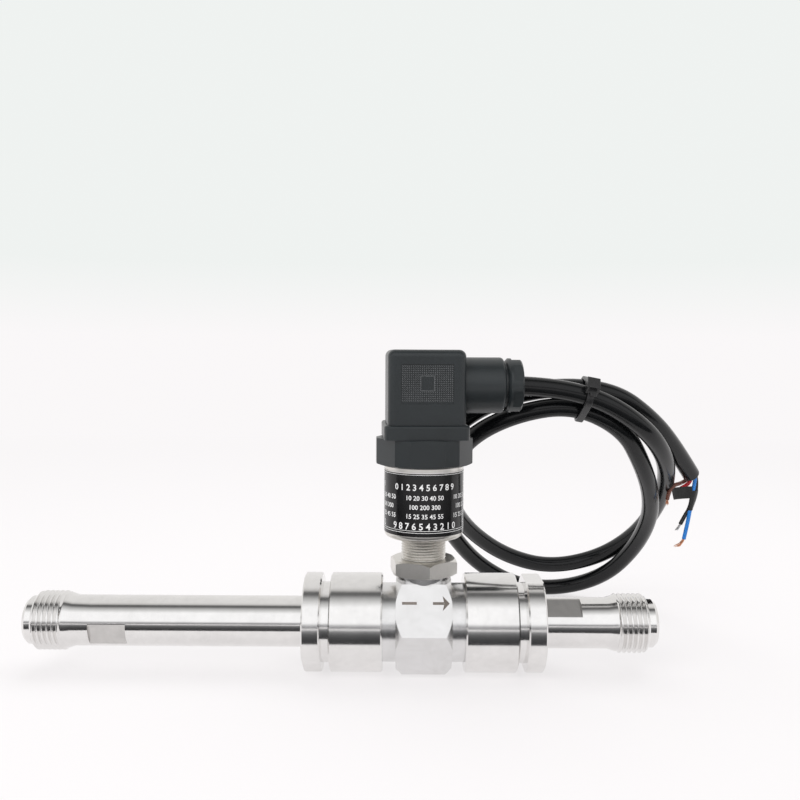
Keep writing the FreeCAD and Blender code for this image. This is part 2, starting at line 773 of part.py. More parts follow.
def centreScrew():
    """Long screw through the housing and the insert into the cap nut."""
    outline = [
        ("capTop - 4", "0"),
        ("capTop - 4", "1.45"),
        ("plugTop - 1.6", "1.45"),
        ("plugTop - 1.6", "3"),
        ("plugTop - 0.5", "3"),
        ("plugTop - 0.1", "2.5"),
        ("plugTop - 0.1", "0"),
    ]
    body = newBody("centre_screw", plug=True)
    turned(body, "Z_Axis", outline)
    slot = newSketch(body, "XY_Plane", "plugTop - 1.2", 20)
    drawBox(slot, "-4", "4", "-0.35", "0.35")
    pocket(body, slot, "3")
    return body


def glandPiece(label, low, high, inner, outer):
    """A ring on the gland axis, which lies above the pipe axis."""
    body = newBody(label, plug=True)
    sketch = newSketch(body, "YZ_Plane", low)
    drawCircle(sketch, outer, "0", "glandHeight")
    drawCircle(sketch, inner, "0", "glandHeight")
    pad(body, sketch, "%s - (%s)" % (high, low))
    return body


def glandNut():
    """Compression nut: a threaded spigot, a round head and flats cut from its outer end."""
    body = glandPiece("gland_nut", "25", "glandInner", "cableRadius + 0.1", "stubBore - 0.1")
    head = newSketch(body, "YZ_Plane", "glandInner")
    drawCircle(head, "glandRadius", "0", "glandHeight")
    drawCircle(head, "cableRadius + 0.1", "0", "glandHeight")
    pad(body, head, "glandOuter - glandInner")
    outer = size("glandOuter")
    inner = size("glandInner")
    wide = 2 * size("glandRadius")

    def rim(edge):
        box = localBox(body, edge)
        return box.YLength > wide - 0.1 and (box.XMin > outer - 0.01 or abs(box.XMax - inner) < 0.01)

    dress(body, "Chamfer", 0.7, rim)
    half = "glandAcross / 2"
    for turn in (0, 60, 120):
        flats = body.newObject("Sketcher::SketchObject", "GlandFlats")
        flats.AttachmentSupport = (datum(body, "YZ_Plane"), "")
        flats.MapMode = "FlatFace"
        centre = FreeCAD.Vector(0, size("glandHeight"), size("glandInner + 1.6"))
        flats.AttachmentOffset = FreeCAD.Placement(centre, FreeCAD.Rotation(zAxis, turn))
        flats.setExpression("AttachmentOffset.Base.y", bound("glandHeight"))
        flats.setExpression("AttachmentOffset.Base.z", bound("glandInner + 1.6"))
        drawBox(flats, "-12", "12", half, "12")
        drawBox(flats, "-12", "12", "-12", "-1 * " + half)
        pocket(body, flats, "8")
    return body


capNut()
contactBlades()
profileGasket()
contactInsert()
terminalScrews()
plugHousing()
centreScrew()
ring("screw_seal", "Z_Axis", "plugTop - 2.2", "plugTop - 1.6", "1.5", "3.5", plug=True)
glandPiece("gland_washer", "17", "18", "cableRadius - 0.4", "stubBore - 0.1")
glandPiece("cable_grommet", "18", "25", "cableRadius - 0.4", "stubBore - 0.1")
glandNut()


# ---------------------------------------------------------------- cable and wires
def softRoute(points):
    """Straight runs joined by tangent arcs, each as large as its two runs allow."""
    spots = [FreeCAD.Vector(*p) for p in points]
    edges = []
    radii = []
    last = spots[0]
    for before, corner, after in zip(spots, spots[1:], spots[2:]):
        back = before - corner
        ahead = after - corner
        shorter = min(back.Length, ahead.Length)
        turn = math.pi - back.getAngle(ahead)
        tangent = 0.45 * shorter
        radius = tangent / math.tan(turn / 2)
        back.normalize()
        ahead.normalize()
        start = corner + back * tangent
        finish = corner + ahead * tangent
        bisector = back + ahead
        bisector.normalize()
        centre = corner + bisector * (radius / math.cos(turn / 2))
        middle = centre - bisector * radius
        edges.append(Part.LineSegment(last, start).toShape())
        edges.append(Part.Arc(start, middle, finish).toShape())
        radii.append(radius)
        last = finish
    edges.append(Part.LineSegment(last, spots[-1]).toShape())
    return Part.Wire(edges), radii


def tube(label, points, radius):
    """A plain round tube along a soft route, as a feature of its own."""
    path, radii = softRoute(points)
    start = FreeCAD.Vector(*points[0])
    ahead = FreeCAD.Vector(*points[1]) - start
    section = Part.Wire([Part.Circle(start, ahead, radius).toShape()])
    solid = path.makePipeShell([section], True, False)
    ideal = math.pi * radius ** 2 * path.Length
    print("%s: length %.1f, volume / ideal %.4f" % (label, path.Length, solid.Volume / ideal))
    print("  radii", " ".join("%.0f" % r for r in radii))
    feature = doc.addObject("Part::Feature", label)
    feature.Label = label
    feature.Shape = solid
    return feature


# The cable leaves the gland, makes two loops that lean back to the floor behind the meter,
# and ends beside the tie. The turns run: right side, bottom, left side behind the sensor, top.
cableRoute = [
    (54.5, 1.5, 102.9),
    (71.5, 2.6, 102.9),
    (92.5, 3.0, 98.6),
    (111.5, 8.0, 89.5),
    (125.5, 23.0, 78.5),
    (133.5, 43.5, 65.0),
    (136.0, 66.5, 48.5),
    (130.0, 84.0, 31.5),
    (114.5, 94.5, 19.0),
    (91.0, 95.5, 14.5),
    (69.0, 88.5, 21.5),
    (51.5, 75.0, 35.5),
    (42.0, 57.0, 50.5),
    (39.5, 38.5, 66.0),
    (46.0, 22.5, 81.5),
    (62.5, 13.4, 91.8),
    (84.5, 9.8, 96.0),
    (105.5, 13.5, 87.5),
    (117.0, 26.0, 72.0),
    (124.5, 41.0, 58.0),
    (129.0, 58.5, 44.0),
    (127.5, 76.0, 28.0),
    (118.5, 90.0, 12.6),
    (101.0, 100.0, 3.6),
    (78.0, 101.0, 3.6),
    (58.0, 93.0, 15.5),
    (44.5, 79.5, 32.0),
    (35.5, 62.0, 50.5),
    (32.5, 44.5, 67.0),
    (38.5, 28.8, 83.5),
    (55.0, 20.9, 96.3),
    (77.5, 12.8, 103.4),
    (101.0, 13.6, 102.8),
    (119.0, 23.0, 92.5),
    (132.4, 35.0, 79.4),
    (142.6, 46.2, 64.4),
]
tube("signal_cable", cableRoute, size("cableRadius"))

# Four wires hang out of the cut end: the two long ones pass through a marker sleeve.
wireRoutes = {
    "brown_wire": [
        (141.2, 47.0, 63.9),
        (142.0, 47.8, 62.8),
        (141.5, 48.9, 61.2),
        (139.6, 48.7, 60.3),
        (137.8, 45.6, 60.4),
        (135.0, 42.8, 60.3),
        (133.0, 43.9, 57.6),
        (132.8, 44.6, 54.0),
    ],
    "red_wire": [
        (141.9, 45.3, 63.1),
        (142.6, 46.1, 62.1),
        (142.3, 46.8, 60.7),
        (140.8, 46.8, 59.3),
        (138.6, 45.8, 58.5),
    ],
    "blue_wire": [
        (143.6, 45.1, 64.1),
        (144.5, 46.1, 62.8),
        (144.3, 46.5, 60.0),
        (143.6, 46.3, 56.4),
        (143.2, 46.2, 53.0),
        (142.6, 46.2, 49.0),
        (141.7, 46.2, 43.6),
        (140.3, 46.0, 37.4),
    ],
    "black_wire": [
        (143.9, 46.7, 65.5),
        (145.0, 47.9, 64.0),
        (145.8, 48.4, 61.4),
        (145.6, 48.0, 58.0),
        (145.2, 47.7, 55.6),
        (144.4, 47.9, 52.4),
        (142.7, 48.1, 49.2),
        (140.8, 47.9, 46.2),
        (139.3, 47.8, 43.2),
    ],
}
for label, points in wireRoutes.items():
    tube(label, points, size("wireRadius"))


def hullFace(centres, radius):
    """Face inside a band drawn tight round circles, given anticlockwise in the YZ plane."""
    edges = []
    count = len(centres)
    for i in range(count):
        here = centres[i]
        ahead = centres[(i + 1) % count]
        behind = centres[i - 1]
        out = (ahead - here).cross(xAxis).normalize() * radius
        arrival = (here - behind).cross(xAxis).normalize() * radius
        middle = (out + arrival).normalize() * radius
        edges.append(Part.Arc(here + arrival, here + middle, here + out).toShape())
        edges.append(Part.LineSegment(here + out, ahead + out).toShape())
    return Part.Face(Part.Wire(edges))


def cableTie():
    """A band drawn round the three strands, with its ratchet head on top."""
    strands = [FreeCAD.Vector(0, -4.9, 0.3), FreeCAD.Vector(0, 2.7, -5), FreeCAD.Vector(0, 5.2, 4.2)]
    gap = size("cableRadius") + 0.4
    outside = hullFace(strands, gap + 1).extrude(xAxis * 2.6)
    inside = hullFace(strands, gap).extrude(xAxis * 2.6)
    along = (strands[2] - strands[0]).normalize()
    slope = math.degrees(math.atan2(along.z, along.y))
    head = Part.makeBox(4.4, 5, 3.8, FreeCAD.Vector(-0.2, -2.5, gap + 0.5))
    head.rotate(FreeCAD.Vector(0, 0, 0), xAxis, slope)
    head.translate((strands[0] + strands[2]) * 0.5)
    feature = doc.addObject("Part::Feature", "cable_tie")
    feature.Label = "cable_tie"
    feature.Shape = outside.fuse(head).cut(inside).removeSplitter()
    feature.Placement = FreeCAD.Placement(FreeCAD.Vector(87.2, 8, 99.2), FreeCAD.Rotation(yAxis, 11))
    return feature


def wireMarker():
    """Flat sleeve round the blue and black wires, with a short tape flag to one side."""
    feature = doc.addObject("Part::Feature", "wire_marker")
    feature.Label = "wire_marker"
    low = FreeCAD.Vector(142.8, 47.15, 49.2)
    top = FreeCAD.Vector(144.6, 47.1, 57.0)
    upward = top - low
    sleeve = Part.makeCylinder(2.15, upward.Length, low, upward)
    flag = Part.makeBox(9, 0.4, 4.9, FreeCAD.Vector(-9, -0.2, -4.9))
    flag.rotate(FreeCAD.Vector(0, 0, 0), yAxis, -3)
    flag.rotate(FreeCAD.Vector(0, 0, 0), zAxis, 10)
    flag.translate(FreeCAD.Vector(143.4, 45.1, 58.6))
    shape = sleeve.fuse(flag)
    for label in ("blue_wire", "black_wire"):
        shape = shape.cut(doc.getObject(label).Shape)
    feature.Shape = shape
    return feature


cableTie()
wireMarker()


# ---------------------------------------------------------------- checks and files
doc.recompute()
for item in doc.Objects:
    if "Invalid" in item.State or "Error" in item.State:
        raise RuntimeError("%s is %s" % (item.Name, item.State))

pieces = [o for o in doc.Objects if o.isDerivedFrom("PartDesign::Body") or o.TypeId == "Part::Feature"]
for piece in pieces:
    shape = piece.Shape
    if shape.isNull() or not shape.isValid() or not shape.Solids:
        raise RuntimeError("%s has no valid solid" % piece.Label)
    shape.exportStep("parts/%s.step" % piece.Label)
print(len(pieces), "pieces written")
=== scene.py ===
import json
import math
import random

import bmesh
import bpy
from mathutils import Matrix, Vector


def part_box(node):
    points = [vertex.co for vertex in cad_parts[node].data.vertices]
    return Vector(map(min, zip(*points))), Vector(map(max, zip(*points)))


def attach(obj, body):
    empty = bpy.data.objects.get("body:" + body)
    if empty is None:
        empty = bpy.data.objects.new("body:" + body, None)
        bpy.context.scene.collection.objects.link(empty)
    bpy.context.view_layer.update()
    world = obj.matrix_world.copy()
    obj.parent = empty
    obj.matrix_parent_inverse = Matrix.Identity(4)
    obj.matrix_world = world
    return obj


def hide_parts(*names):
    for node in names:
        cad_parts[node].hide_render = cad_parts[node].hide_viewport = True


# Turbine flow meter: threaded pipe ends, union nuts, milled body, pickup sensor, plug and cable.
# Everything is in metres. X runs along the flow, Z up, and the floor is z = 0.

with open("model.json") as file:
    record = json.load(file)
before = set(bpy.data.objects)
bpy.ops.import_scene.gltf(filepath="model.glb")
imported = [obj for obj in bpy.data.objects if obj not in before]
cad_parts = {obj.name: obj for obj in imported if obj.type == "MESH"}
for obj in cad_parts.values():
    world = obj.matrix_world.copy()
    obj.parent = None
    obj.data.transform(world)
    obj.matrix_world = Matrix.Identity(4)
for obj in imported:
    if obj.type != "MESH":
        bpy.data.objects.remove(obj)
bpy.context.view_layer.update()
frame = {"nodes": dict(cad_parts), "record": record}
scene = bpy.context.scene
mm = 0.001

shaftLow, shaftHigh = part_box("rotor_shaft")
barrelLow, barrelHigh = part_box("sensor_barrel")
labelLow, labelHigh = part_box("label_wrap")
sensorX = (barrelLow.x + barrelHigh.x) / 2
axisZ = (shaftLow.z + shaftHigh.z) / 2
print("frame loaded,", len(frame["nodes"]), "nodes")


def fromAxis(x, y, z):  # millimetres from where the sensor axis meets the pipe axis
    return Vector((sensorX + x * mm, y * mm, axisZ + z * mm))


# ---- camera ----
cameraSettings = {"place": (0.0222, -0.3134, 0.1140), "pitch": 3.0, "yaw": 0.25, "roll": 0.25,
                  "lens": 39.64, "sensor": 36.0}


def makeCamera():
    data = bpy.data.cameras.new("camera")
    data.lens = cameraSettings["lens"]
    data.sensor_width = cameraSettings["sensor"]
    data.clip_start = 0.01
    camera = bpy.data.objects.new("camera", data)
    yaw = Matrix.Rotation(math.radians(cameraSettings["yaw"]), 4, "Z")
    tilt = Matrix.Rotation(math.radians(90 - cameraSettings["pitch"]), 4, "X")
    roll = Matrix.Rotation(math.radians(cameraSettings["roll"]), 4, "Z")
    camera.matrix_world = Matrix.Translation(cameraSettings["place"]) @ yaw @ tilt @ roll
    scene.collection.objects.link(camera)
    scene.camera = camera


makeCamera()


# ---- shader maths ----
class Signal:
    # one output socket; sums and products of signals add the Math nodes they need
    def __init__(self, finish, socket):
        self.finish = finish
        self.socket = socket

    def maths(self, operation, first, second):
        return self.finish.add("ShaderNodeMath", {"operation": operation}, {0: first, 1: second})

    def __add__(self, other):
        return self.maths("ADD", self, other)

    def __radd__(self, other):
        return self.maths("ADD", other, self)

    def __sub__(self, other):
        return self.maths("SUBTRACT", self, other)

    def __rsub__(self, other):
        return self.maths("SUBTRACT", other, self)

    def __mul__(self, other):
        return self.maths("MULTIPLY", self, other)

    def __rmul__(self, other):
        return self.maths("MULTIPLY", other, self)

    def __truediv__(self, other):
        return self.maths("DIVIDE", self, other)


class Finish:
    # the node tree of a material or of the world
    def __init__(self, holder):
        self.holder = holder
        holder.use_nodes = True
        self.tree = holder.node_tree
        self.tree.nodes.clear()

    def add(self, kind, settings=None, inputs=None, out=0):
        node = self.tree.nodes.new(kind)
        for key, value in (settings or {}).items():
            if key == "stops":
                while len(node.color_ramp.elements) < len(value):
                    node.color_ramp.elements.new(0.5)
                for element, (position, colour) in zip(node.color_ramp.elements, value):
                    element.position = position
                    element.color = (*colour, 1)
            else:
                setattr(node, key, value)
        for key, value in (inputs or {}).items():
            if isinstance(value, Signal):
                self.tree.links.new(value.socket, node.inputs[key])
            else:
                node.inputs[key].default_value = value
        return Signal(self, node.outputs[out]) if len(node.outputs) else None

    def spot(self, stretch):
        # the object's own coordinates in metres, multiplied axis by axis
        place = self.add("ShaderNodeTexCoord", out="Object")
        return self.add("ShaderNodeVectorMath", {"operation": "MULTIPLY"}, {0: place, 1: stretch})

    def noise(self, stretch, detail=3, roughness=0.55, warp=0.0):
        sockets = {"Vector": self.spot(stretch), "Scale": 1, "Detail": detail, "Roughness": roughness}
        sockets["Distortion"] = warp
        return self.add("ShaderNodeTexNoise", {"normalize": True}, sockets)

    def ramp(self, signal, stops):
        return self.add("ShaderNodeValToRGB", {"stops": stops}, {0: signal})

    def bump(self, height, strength, depth):
        return self.add("ShaderNodeBump", {}, {"Height": height, "Strength": strength, "Distance": depth})

    def shade(self, sockets):
        shader = self.add("ShaderNodeBsdfPrincipled", {}, sockets)
        self.add("ShaderNodeOutputMaterial", {}, {"Surface": shader})
        return self.holder


def newFinish(name):
    return Finish(bpy.data.materials.new(name))


def opaque(colour):
    return (*colour, 1)


# ---- finishes ----
def turnedSteel(name, settings):
    # lathe-turned metal: fine lines across the turning axis, faint stains and finger marks
    finish = newFinish(name)
    across = settings["linesPerMetre"]
    around = settings["around"]
    stretch = {"x": (across, around, around), "z": (around, around, across)}[settings["axis"]]
    lines = finish.noise(stretch, 4, 0.7)
    waves = finish.noise((90, 90, 90), 3, 0.6, 0.4)
    marks = finish.noise((420, 420, 420), 4, 0.65)
    tone = finish.ramp(waves * 0.6 + marks * 0.4, [(0.32, settings["dark"]), (0.62, settings["light"])])
    rough = settings["roughness"] + (lines - 0.5) * settings["lineRough"] + (waves - 0.45) * settings["stain"]
    return finish.shade({
        "Base Color": tone,
        "Metallic": 1.0,
        "Roughness": rough,
        "Normal": finish.bump(lines, settings["strength"], settings["depth"]),
    })


def milledSteel(name, settings):
    # satin flats: short straight brush lines and a few deeper scratches
    finish = newFinish(name)
    brush = finish.noise(settings["stretch"], 4, 0.75)
    scratch = finish.noise(tuple(s * 0.35 for s in settings["stretch"]), 2, 0.5, 0.3)
    waves = finish.noise((110, 110, 110), 3, 0.6, 0.5)
    tone = finish.ramp(waves, [(0.3, settings["dark"]), (0.65, settings["light"])])
    rough = settings["roughness"] + (waves - 0.5) * 0.05 + (brush - 0.5) * 0.08
    return finish.shade({
        "Base Color": tone,
        "Metallic": 1.0,
        "Roughness": rough,
        "Normal": finish.bump(brush * 0.7 + scratch * 0.3, settings["strength"], settings["depth"]),
    })


def mouldedPlastic(name, settings):
    # spark-eroded mould texture, a little dust and paler rubbed patches
    finish = newFinish(name)
    grain = finish.noise((settings["grain"],) * 3, 3, 0.6)
    cloud = finish.noise((70, 70, 70), 4, 0.6, 0.3)
    tone = finish.ramp(cloud * 0.7 + grain * 0.3, [(0.3, settings["dark"]), (0.7, settings["light"])])
    return finish.shade({
        "Base Color": tone,
        "Roughness": settings["roughness"] + (grain - 0.5) * 0.14 + (cloud - 0.5) * 0.1,
        "Specular IOR Level": settings["specular"],
        "Normal": finish.bump(grain, settings["strength"], settings["depth"]),
    })


def smoothSleeve(name, settings):
    # extruded PVC or nylon: soft lengthwise unevenness and light scuffs
    finish = newFinish(name)
    wave = finish.noise((240, 240, 240), 3, 0.55, 0.2)
    scuff = finish.noise((1900, 1900, 1900), 3, 0.7)
    tone = finish.ramp(wave * 0.6 + scuff * 0.4, [(0.3, settings["dark"]), (0.7, settings["light"])])
    return finish.shade({
        "Base Color": tone,
        "Roughness": settings["roughness"] + (scuff - 0.5) * 0.18 + (wave - 0.5) * 0.1,
        "Specular IOR Level": settings["specular"],
        "Normal": finish.bump(wave * 0.5 + scuff * 0.5, settings["strength"], settings["depth"]),
    })


steelShared = {"linesPerMetre": 5200, "around": 26, "lineRough": 0.07, "stain": 0.035}
finishes = {
    "pipe_steel": turnedSteel("pipe_steel", dict(
        steelShared, axis="x", dark=(0.76, 0.75, 0.74), light=(0.83, 0.82, 0.81),
        roughness=0.12, strength=0.22, depth=0.00002)),
    "nut_steel": turnedSteel("nut_steel", dict(
        steelShared, axis="x", dark=(0.76, 0.75, 0.74), light=(0.84, 0.83, 0.82),
        roughness=0.14, strength=0.30, depth=0.00002)),
    "body_steel": milledSteel("body_steel", {
        "stretch": (160, 5200, 5200), "dark": (0.70, 0.695, 0.69), "light": (0.78, 0.775, 0.775),
        "roughness": 0.22, "strength": 0.25, "depth": 0.00002}),
    "flat_steel": milledSteel("flat_steel", {
        "stretch": (4200, 260, 260), "dark": (0.56, 0.55, 0.535), "light": (0.68, 0.665, 0.65),
        "roughness": 0.36, "strength": 0.35, "depth": 0.00003}),
    "nickel": turnedSteel("nickel", dict(
        steelShared, axis="z", dark=(0.68, 0.66, 0.625), light=(0.78, 0.76, 0.725),
        roughness=0.30, strength=0.22, depth=0.00002)),
    "guide_steel": turnedSteel("guide_steel", dict(
        steelShared, axis="x", dark=(0.55, 0.54, 0.53), light=(0.70, 0.69, 0.68),
        roughness=0.26, strength=0.25, depth=0.00002)),
    "black_plastic": mouldedPlastic("black_plastic", {
        "grain": 3400, "dark": (0.0095, 0.013, 0.0145), "light": (0.0155, 0.0205, 0.023),
        "roughness": 0.34, "specular": 0.5, "strength": 0.35, "depth": 0.00003}),
    # rubbed_plastic is a paler copy of the black plug plastic, used for the raised panel dashes; its paleness
    # is painted highlight standing in for the light the dashes catch, not rubbing
    "rubbed_plastic": mouldedPlastic("rubbed_plastic", {
        "grain": 3400, "dark": (0.085, 0.090, 0.094), "light": (0.135, 0.14, 0.147),
        "roughness": 0.5, "specular": 0.5, "strength": 0.35, "depth": 0.00003}),
    "insert_plastic": mouldedPlastic("insert_plastic", {
        "grain": 3000, "dark": (0.10, 0.10, 0.105), "light": (0.14, 0.14, 0.145),
        "roughness": 0.55, "specular": 0.4, "strength": 0.3, "depth": 0.00003}),
    "label_film": smoothSleeve("label_film", {
        "dark": (0.005, 0.005, 0.0055), "light": (0.009, 0.009, 0.0095),
        "roughness": 0.16, "specular": 0.35, "strength": 0.06, "depth": 0.00002}),
    "rubber": mouldedPlastic("rubber", {
        "grain": 2600, "dark": (0.018, 0.018, 0.018), "light": (0.032, 0.032, 0.032),
        "roughness": 0.68, "specular": 0.3, "strength": 0.3, "depth": 0.00003}),
    "copper": turnedSteel("copper", dict(
        steelShared, axis="z", dark=(0.62, 0.30, 0.17), light=(0.86, 0.47, 0.30),
        roughness=0.28, strength=0.5, depth=0.00004)),
    "brass_contacts": milledSteel("brass_contacts", {
        "stretch": (900, 900, 3800), "dark": (0.66, 0.60, 0.42), "light": (0.80, 0.74, 0.56),
        "roughness": 0.3, "strength": 0.2, "depth": 0.00002}),
    "magnet": mouldedPlastic("magnet", {
        "grain": 4200, "dark": (0.12, 0.12, 0.125), "light": (0.2, 0.2, 0.205),
        "roughness": 0.5, "specular": 0.6, "strength": 0.4, "depth": 0.00003}),
    "board": smoothSleeve("board", {
        "dark": (0.012, 0.10, 0.045), "light": (0.02, 0.15, 0.07),
        "roughness": 0.35, "specular": 0.5, "strength": 0.2, "depth": 0.00002}),
    "chip": mouldedPlastic("chip", {
        "grain": 5200, "dark": (0.02, 0.02, 0.021), "light": (0.035, 0.035, 0.036),
        "roughness": 0.6, "specular": 0.4, "strength": 0.3, "depth": 0.00002}),
    "cable_jacket": smoothSleeve("cable_jacket", {
        "dark": (0.004, 0.0045, 0.005), "light": (0.007, 0.0075, 0.0082),
        "roughness": 0.15, "specular": 0.30, "strength": 0.10, "depth": 0.00003}),
    "tie_plastic": smoothSleeve("tie_plastic", {
        "dark": (0.010, 0.010, 0.011), "light": (0.020, 0.020, 0.021),
        "roughness": 0.30, "specular": 0.5, "strength": 0.12, "depth": 0.00003}),
    "brown_pvc": smoothSleeve("brown_pvc", {
        "dark": (0.13, 0.045, 0.028), "light": (0.20, 0.075, 0.05),
        "roughness": 0.38, "specular": 0.5, "strength": 0.12, "depth": 0.00003}),
    "blue_pvc": smoothSleeve("blue_pvc", {
        "dark": (0.012, 0.17, 0.56), "light": (0.022, 0.24, 0.72),
        "roughness": 0.34, "specular": 0.5, "strength": 0.12, "depth": 0.00003}),
    "black_pvc": smoothSleeve("black_pvc", {
        "dark": (0.010, 0.010, 0.010), "light": (0.020, 0.020, 0.020),
        "roughness": 0.38, "specular": 0.5, "strength": 0.12, "depth": 0.00003}),
    "red_pvc": smoothSleeve("red_pvc", {
        "dark": (0.42, 0.012, 0.02), "light": (0.60, 0.02, 0.03),
        "roughness": 0.36, "specular": 0.5, "strength": 0.12, "depth": 0.00003}),
    "ptfe": mouldedPlastic("ptfe", {
        "grain": 1600, "dark": (0.72, 0.72, 0.70), "light": (0.82, 0.82, 0.80),
        "roughness": 0.5, "specular": 0.4, "strength": 0.15, "depth": 0.00002}),
    "print_white": smoothSleeve("print_white", {
        "dark": (0.80, 0.80, 0.80), "light": (0.90, 0.90, 0.90),
        "roughness": 0.42, "specular": 0.4, "strength": 0.1, "depth": 0.00001}),
    "engraving": mouldedPlastic("engraving", {
        "grain": 5200, "dark": (0.13, 0.11, 0.095), "light": (0.26, 0.225, 0.20),
        "roughness": 0.5, "specular": 0.5, "strength": 0.4, "depth": 0.00002}),
    "solder": turnedSteel("solder", dict(
        steelShared, axis="z", dark=(0.55, 0.54, 0.53), light=(0.80, 0.79, 0.78),
        roughness=0.3, strength=0.4, depth=0.00003)),
}
print("finishes made,", len(finishes))


# ---- cable ----
cableSettings = {
    "diameter": 0.007,
    "length": 0.809,
    "route": [
        (0.0545, 0.0015, 0.1029), (0.0715, 0.0026, 0.1029), (0.0925, 0.0030, 0.0986),
        (0.1103, 0.0080, 0.0877), (0.1225, 0.0230, 0.0755), (0.1295, 0.0435, 0.0630),
        (0.1321, 0.0665, 0.0480), (0.1270, 0.0840, 0.0315), (0.1125, 0.0945, 0.0190),
        (0.0902, 0.0955, 0.0145), (0.0690, 0.0885, 0.0215), (0.0515, 0.0750, 0.0355),
        (0.0420, 0.0570, 0.0505), (0.0395, 0.0385, 0.0660), (0.0460, 0.0225, 0.0815),
        (0.0625, 0.0134, 0.0918), (0.0841, 0.0098, 0.0960), (0.1040, 0.0135, 0.0869),
        (0.1148, 0.0260, 0.0714), (0.1224, 0.0410, 0.0580), (0.1269, 0.0585, 0.0440),
        (0.1253, 0.0760, 0.0280), (0.1167, 0.0900, 0.0126), (0.1000, 0.1000, 0.0036),
        (0.0780, 0.1010, 0.0036), (0.0580, 0.0930, 0.0155), (0.0445, 0.0795, 0.0320),
        (0.0355, 0.0620, 0.0505), (0.0325, 0.0445, 0.0670), (0.0385, 0.0288, 0.0835),
        (0.0550, 0.0209, 0.0963), (0.0775, 0.0128, 0.1024), (0.1006, 0.0136, 0.1004),
        (0.1172, 0.0230, 0.0893), (0.1298, 0.0350, 0.0772), (0.1399, 0.0462, 0.0654),
    ],
}


def softLine(name, points, radius, finish, smooth=12, around=6):
    # a round cord as one smooth NURBS line through its control points
    data = bpy.data.curves.new(name, "CURVE")
    data.dimensions = "3D"
    spline = data.splines.new("NURBS")
    spline.points.add(len(points) - 1)
    for spot, point in zip(spline.points, points):
        spot.co = (*point, 1)
    spline.order_u = 3
    spline.use_endpoint_u = True
    spline.resolution_u = smooth
    data.resolution_u = smooth
    data.bevel_depth = radius
    data.bevel_resolution = around
    data.use_fill_caps = True
    data.materials.append(finishes[finish])
    line = bpy.data.objects.new(name, data)
    scene.collection.objects.link(line)
    return line


def centreLine(line):
    # the points of a line's own curve, without its thickness
    bare = line.data.copy()
    bare.bevel_depth = 0
    holder = bpy.data.objects.new("bare_line", bare)
    mesh = bpy.data.meshes.new_from_object(holder)
    spots = [vertex.co.copy() for vertex in mesh.vertices]
    bpy.data.objects.remove(holder)
    bpy.data.meshes.remove(mesh)
    return spots


signalCable = softLine("signal_cable_line", cableSettings["route"], cableSettings["diameter"] / 2,
                       "cable_jacket")
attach(signalCable, "meter")
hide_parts("signal_cable")
cableLine = centreLine(signalCable)
print("cable laid,", len(cableLine), "points")


# ---- mesh helpers ----
def finishMesh(name, shape, finish, sharp=32, merge=1e-7):
    bmesh.ops.remove_doubles(shape, verts=shape.verts, dist=merge)
    bmesh.ops.recalc_face_normals(shape, faces=shape.faces)
    mesh = bpy.data.meshes.new(name)
    shape.to_mesh(mesh)
    shape.free()
    mesh.shade_smooth()
    mesh.set_sharp_from_angle(angle=math.radians(sharp))
    mesh.materials.append(finishes[finish])
    piece = bpy.data.objects.new(name, mesh)
    scene.collection.objects.link(piece)
    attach(piece, "meter")
    return piece


def skin(shape, rows, closed=True):
    # quads between neighbouring rows of points, which all have the same count
    sheets = [[shape.verts.new(point) for point in row] for row in rows]
    for lower, upper in zip(sheets, sheets[1:]):
        count = len(lower)
        for i in range(count if closed else count - 1):
            j = (i + 1) % count
            shape.faces.new((lower[i], lower[j], upper[j], upper[i]))
    return sheets


def bevelled(piece, width, segments=2):
    modifier = piece.modifiers.new("soft_edges", "BEVEL")
    modifier.width = width
    modifier.segments = segments
    modifier.limit_method = "ANGLE"
    return piece


def addBlock(shape, size, place, turn=None):
    # a block of this size (x, y, z) about a place, turned by a matrix
    matrix = Matrix.Translation(place) @ (turn.to_4x4() if turn else Matrix()) @ Matrix.Diagonal((*size, 1))
    bmesh.ops.create_cube(shape, size=1, matrix=matrix)


# ---- turned pieces with real threads ----
def plainRing(along, radius):
    return lambda angle: (along, radius)


def flatRing(along, radius, across, normal):
    # a ring with two milled flats whose normal points at this angle
    return lambda angle: (along, min(radius, across / 2 / max(abs(math.cos(angle - normal)), 1e-6)))


def threadHeight(turns):  # rounded crests and roots, 1 on a crest and 0 at a root
    return (0.5 + 0.5 * math.cos(2 * math.pi * turns)) ** 0.85


def threadRings(settings):
    # rings that climb one pitch a turn, held between the ends of the threaded length, with 45 degree lead-ins
    start, end = settings["from"], settings["to"]
    pitch, crest, root = settings["pitch"], settings["crest"], settings["root"]
    hand = settings["hand"]

    def ringAt(turns):
        def ring(angle):
            climb = hand * angle / (2 * math.pi)
            along = min(max(start + pitch * (turns + climb), start), end)
            radius = root + (crest - root) * threadHeight((along - start) / pitch - climb)
            fromStart = settings["startRadius"] + (along - start)
            fromEnd = settings["endRadius"] + (end - along)
            return along, min(radius, fromStart, fromEnd)
        return ring

    first = -1 if hand > 0 else 0
    last = math.ceil((end - start) / pitch) + 1
    steps = 12
    return [ringAt(k + i / steps) for k in range(first, last) for i in range(steps)]


def turnedPiece(name, rings, segments, place, finish):
    # each ring gives a place and a radius, in millimetres, for an angle
    shape = bmesh.new()
    rows = []
    for ring in rings:
        row = []
        for j in range(segments + 1):
            angle = 2 * math.pi * j / segments
            row.append(place(*ring(angle), angle))
        rows.append(row)
    skin(shape, rows, closed=False)
    return finishMesh(name, shape, finish, merge=2e-6)


def alongPipe(side):
    def place(along, radius, angle):
        return fromAxis(side * along, radius * math.cos(angle), radius * math.sin(angle))
    return place


def alongSensor(along, radius, angle):
    return fromAxis(radius * math.cos(angle), radius * math.sin(angle), along)


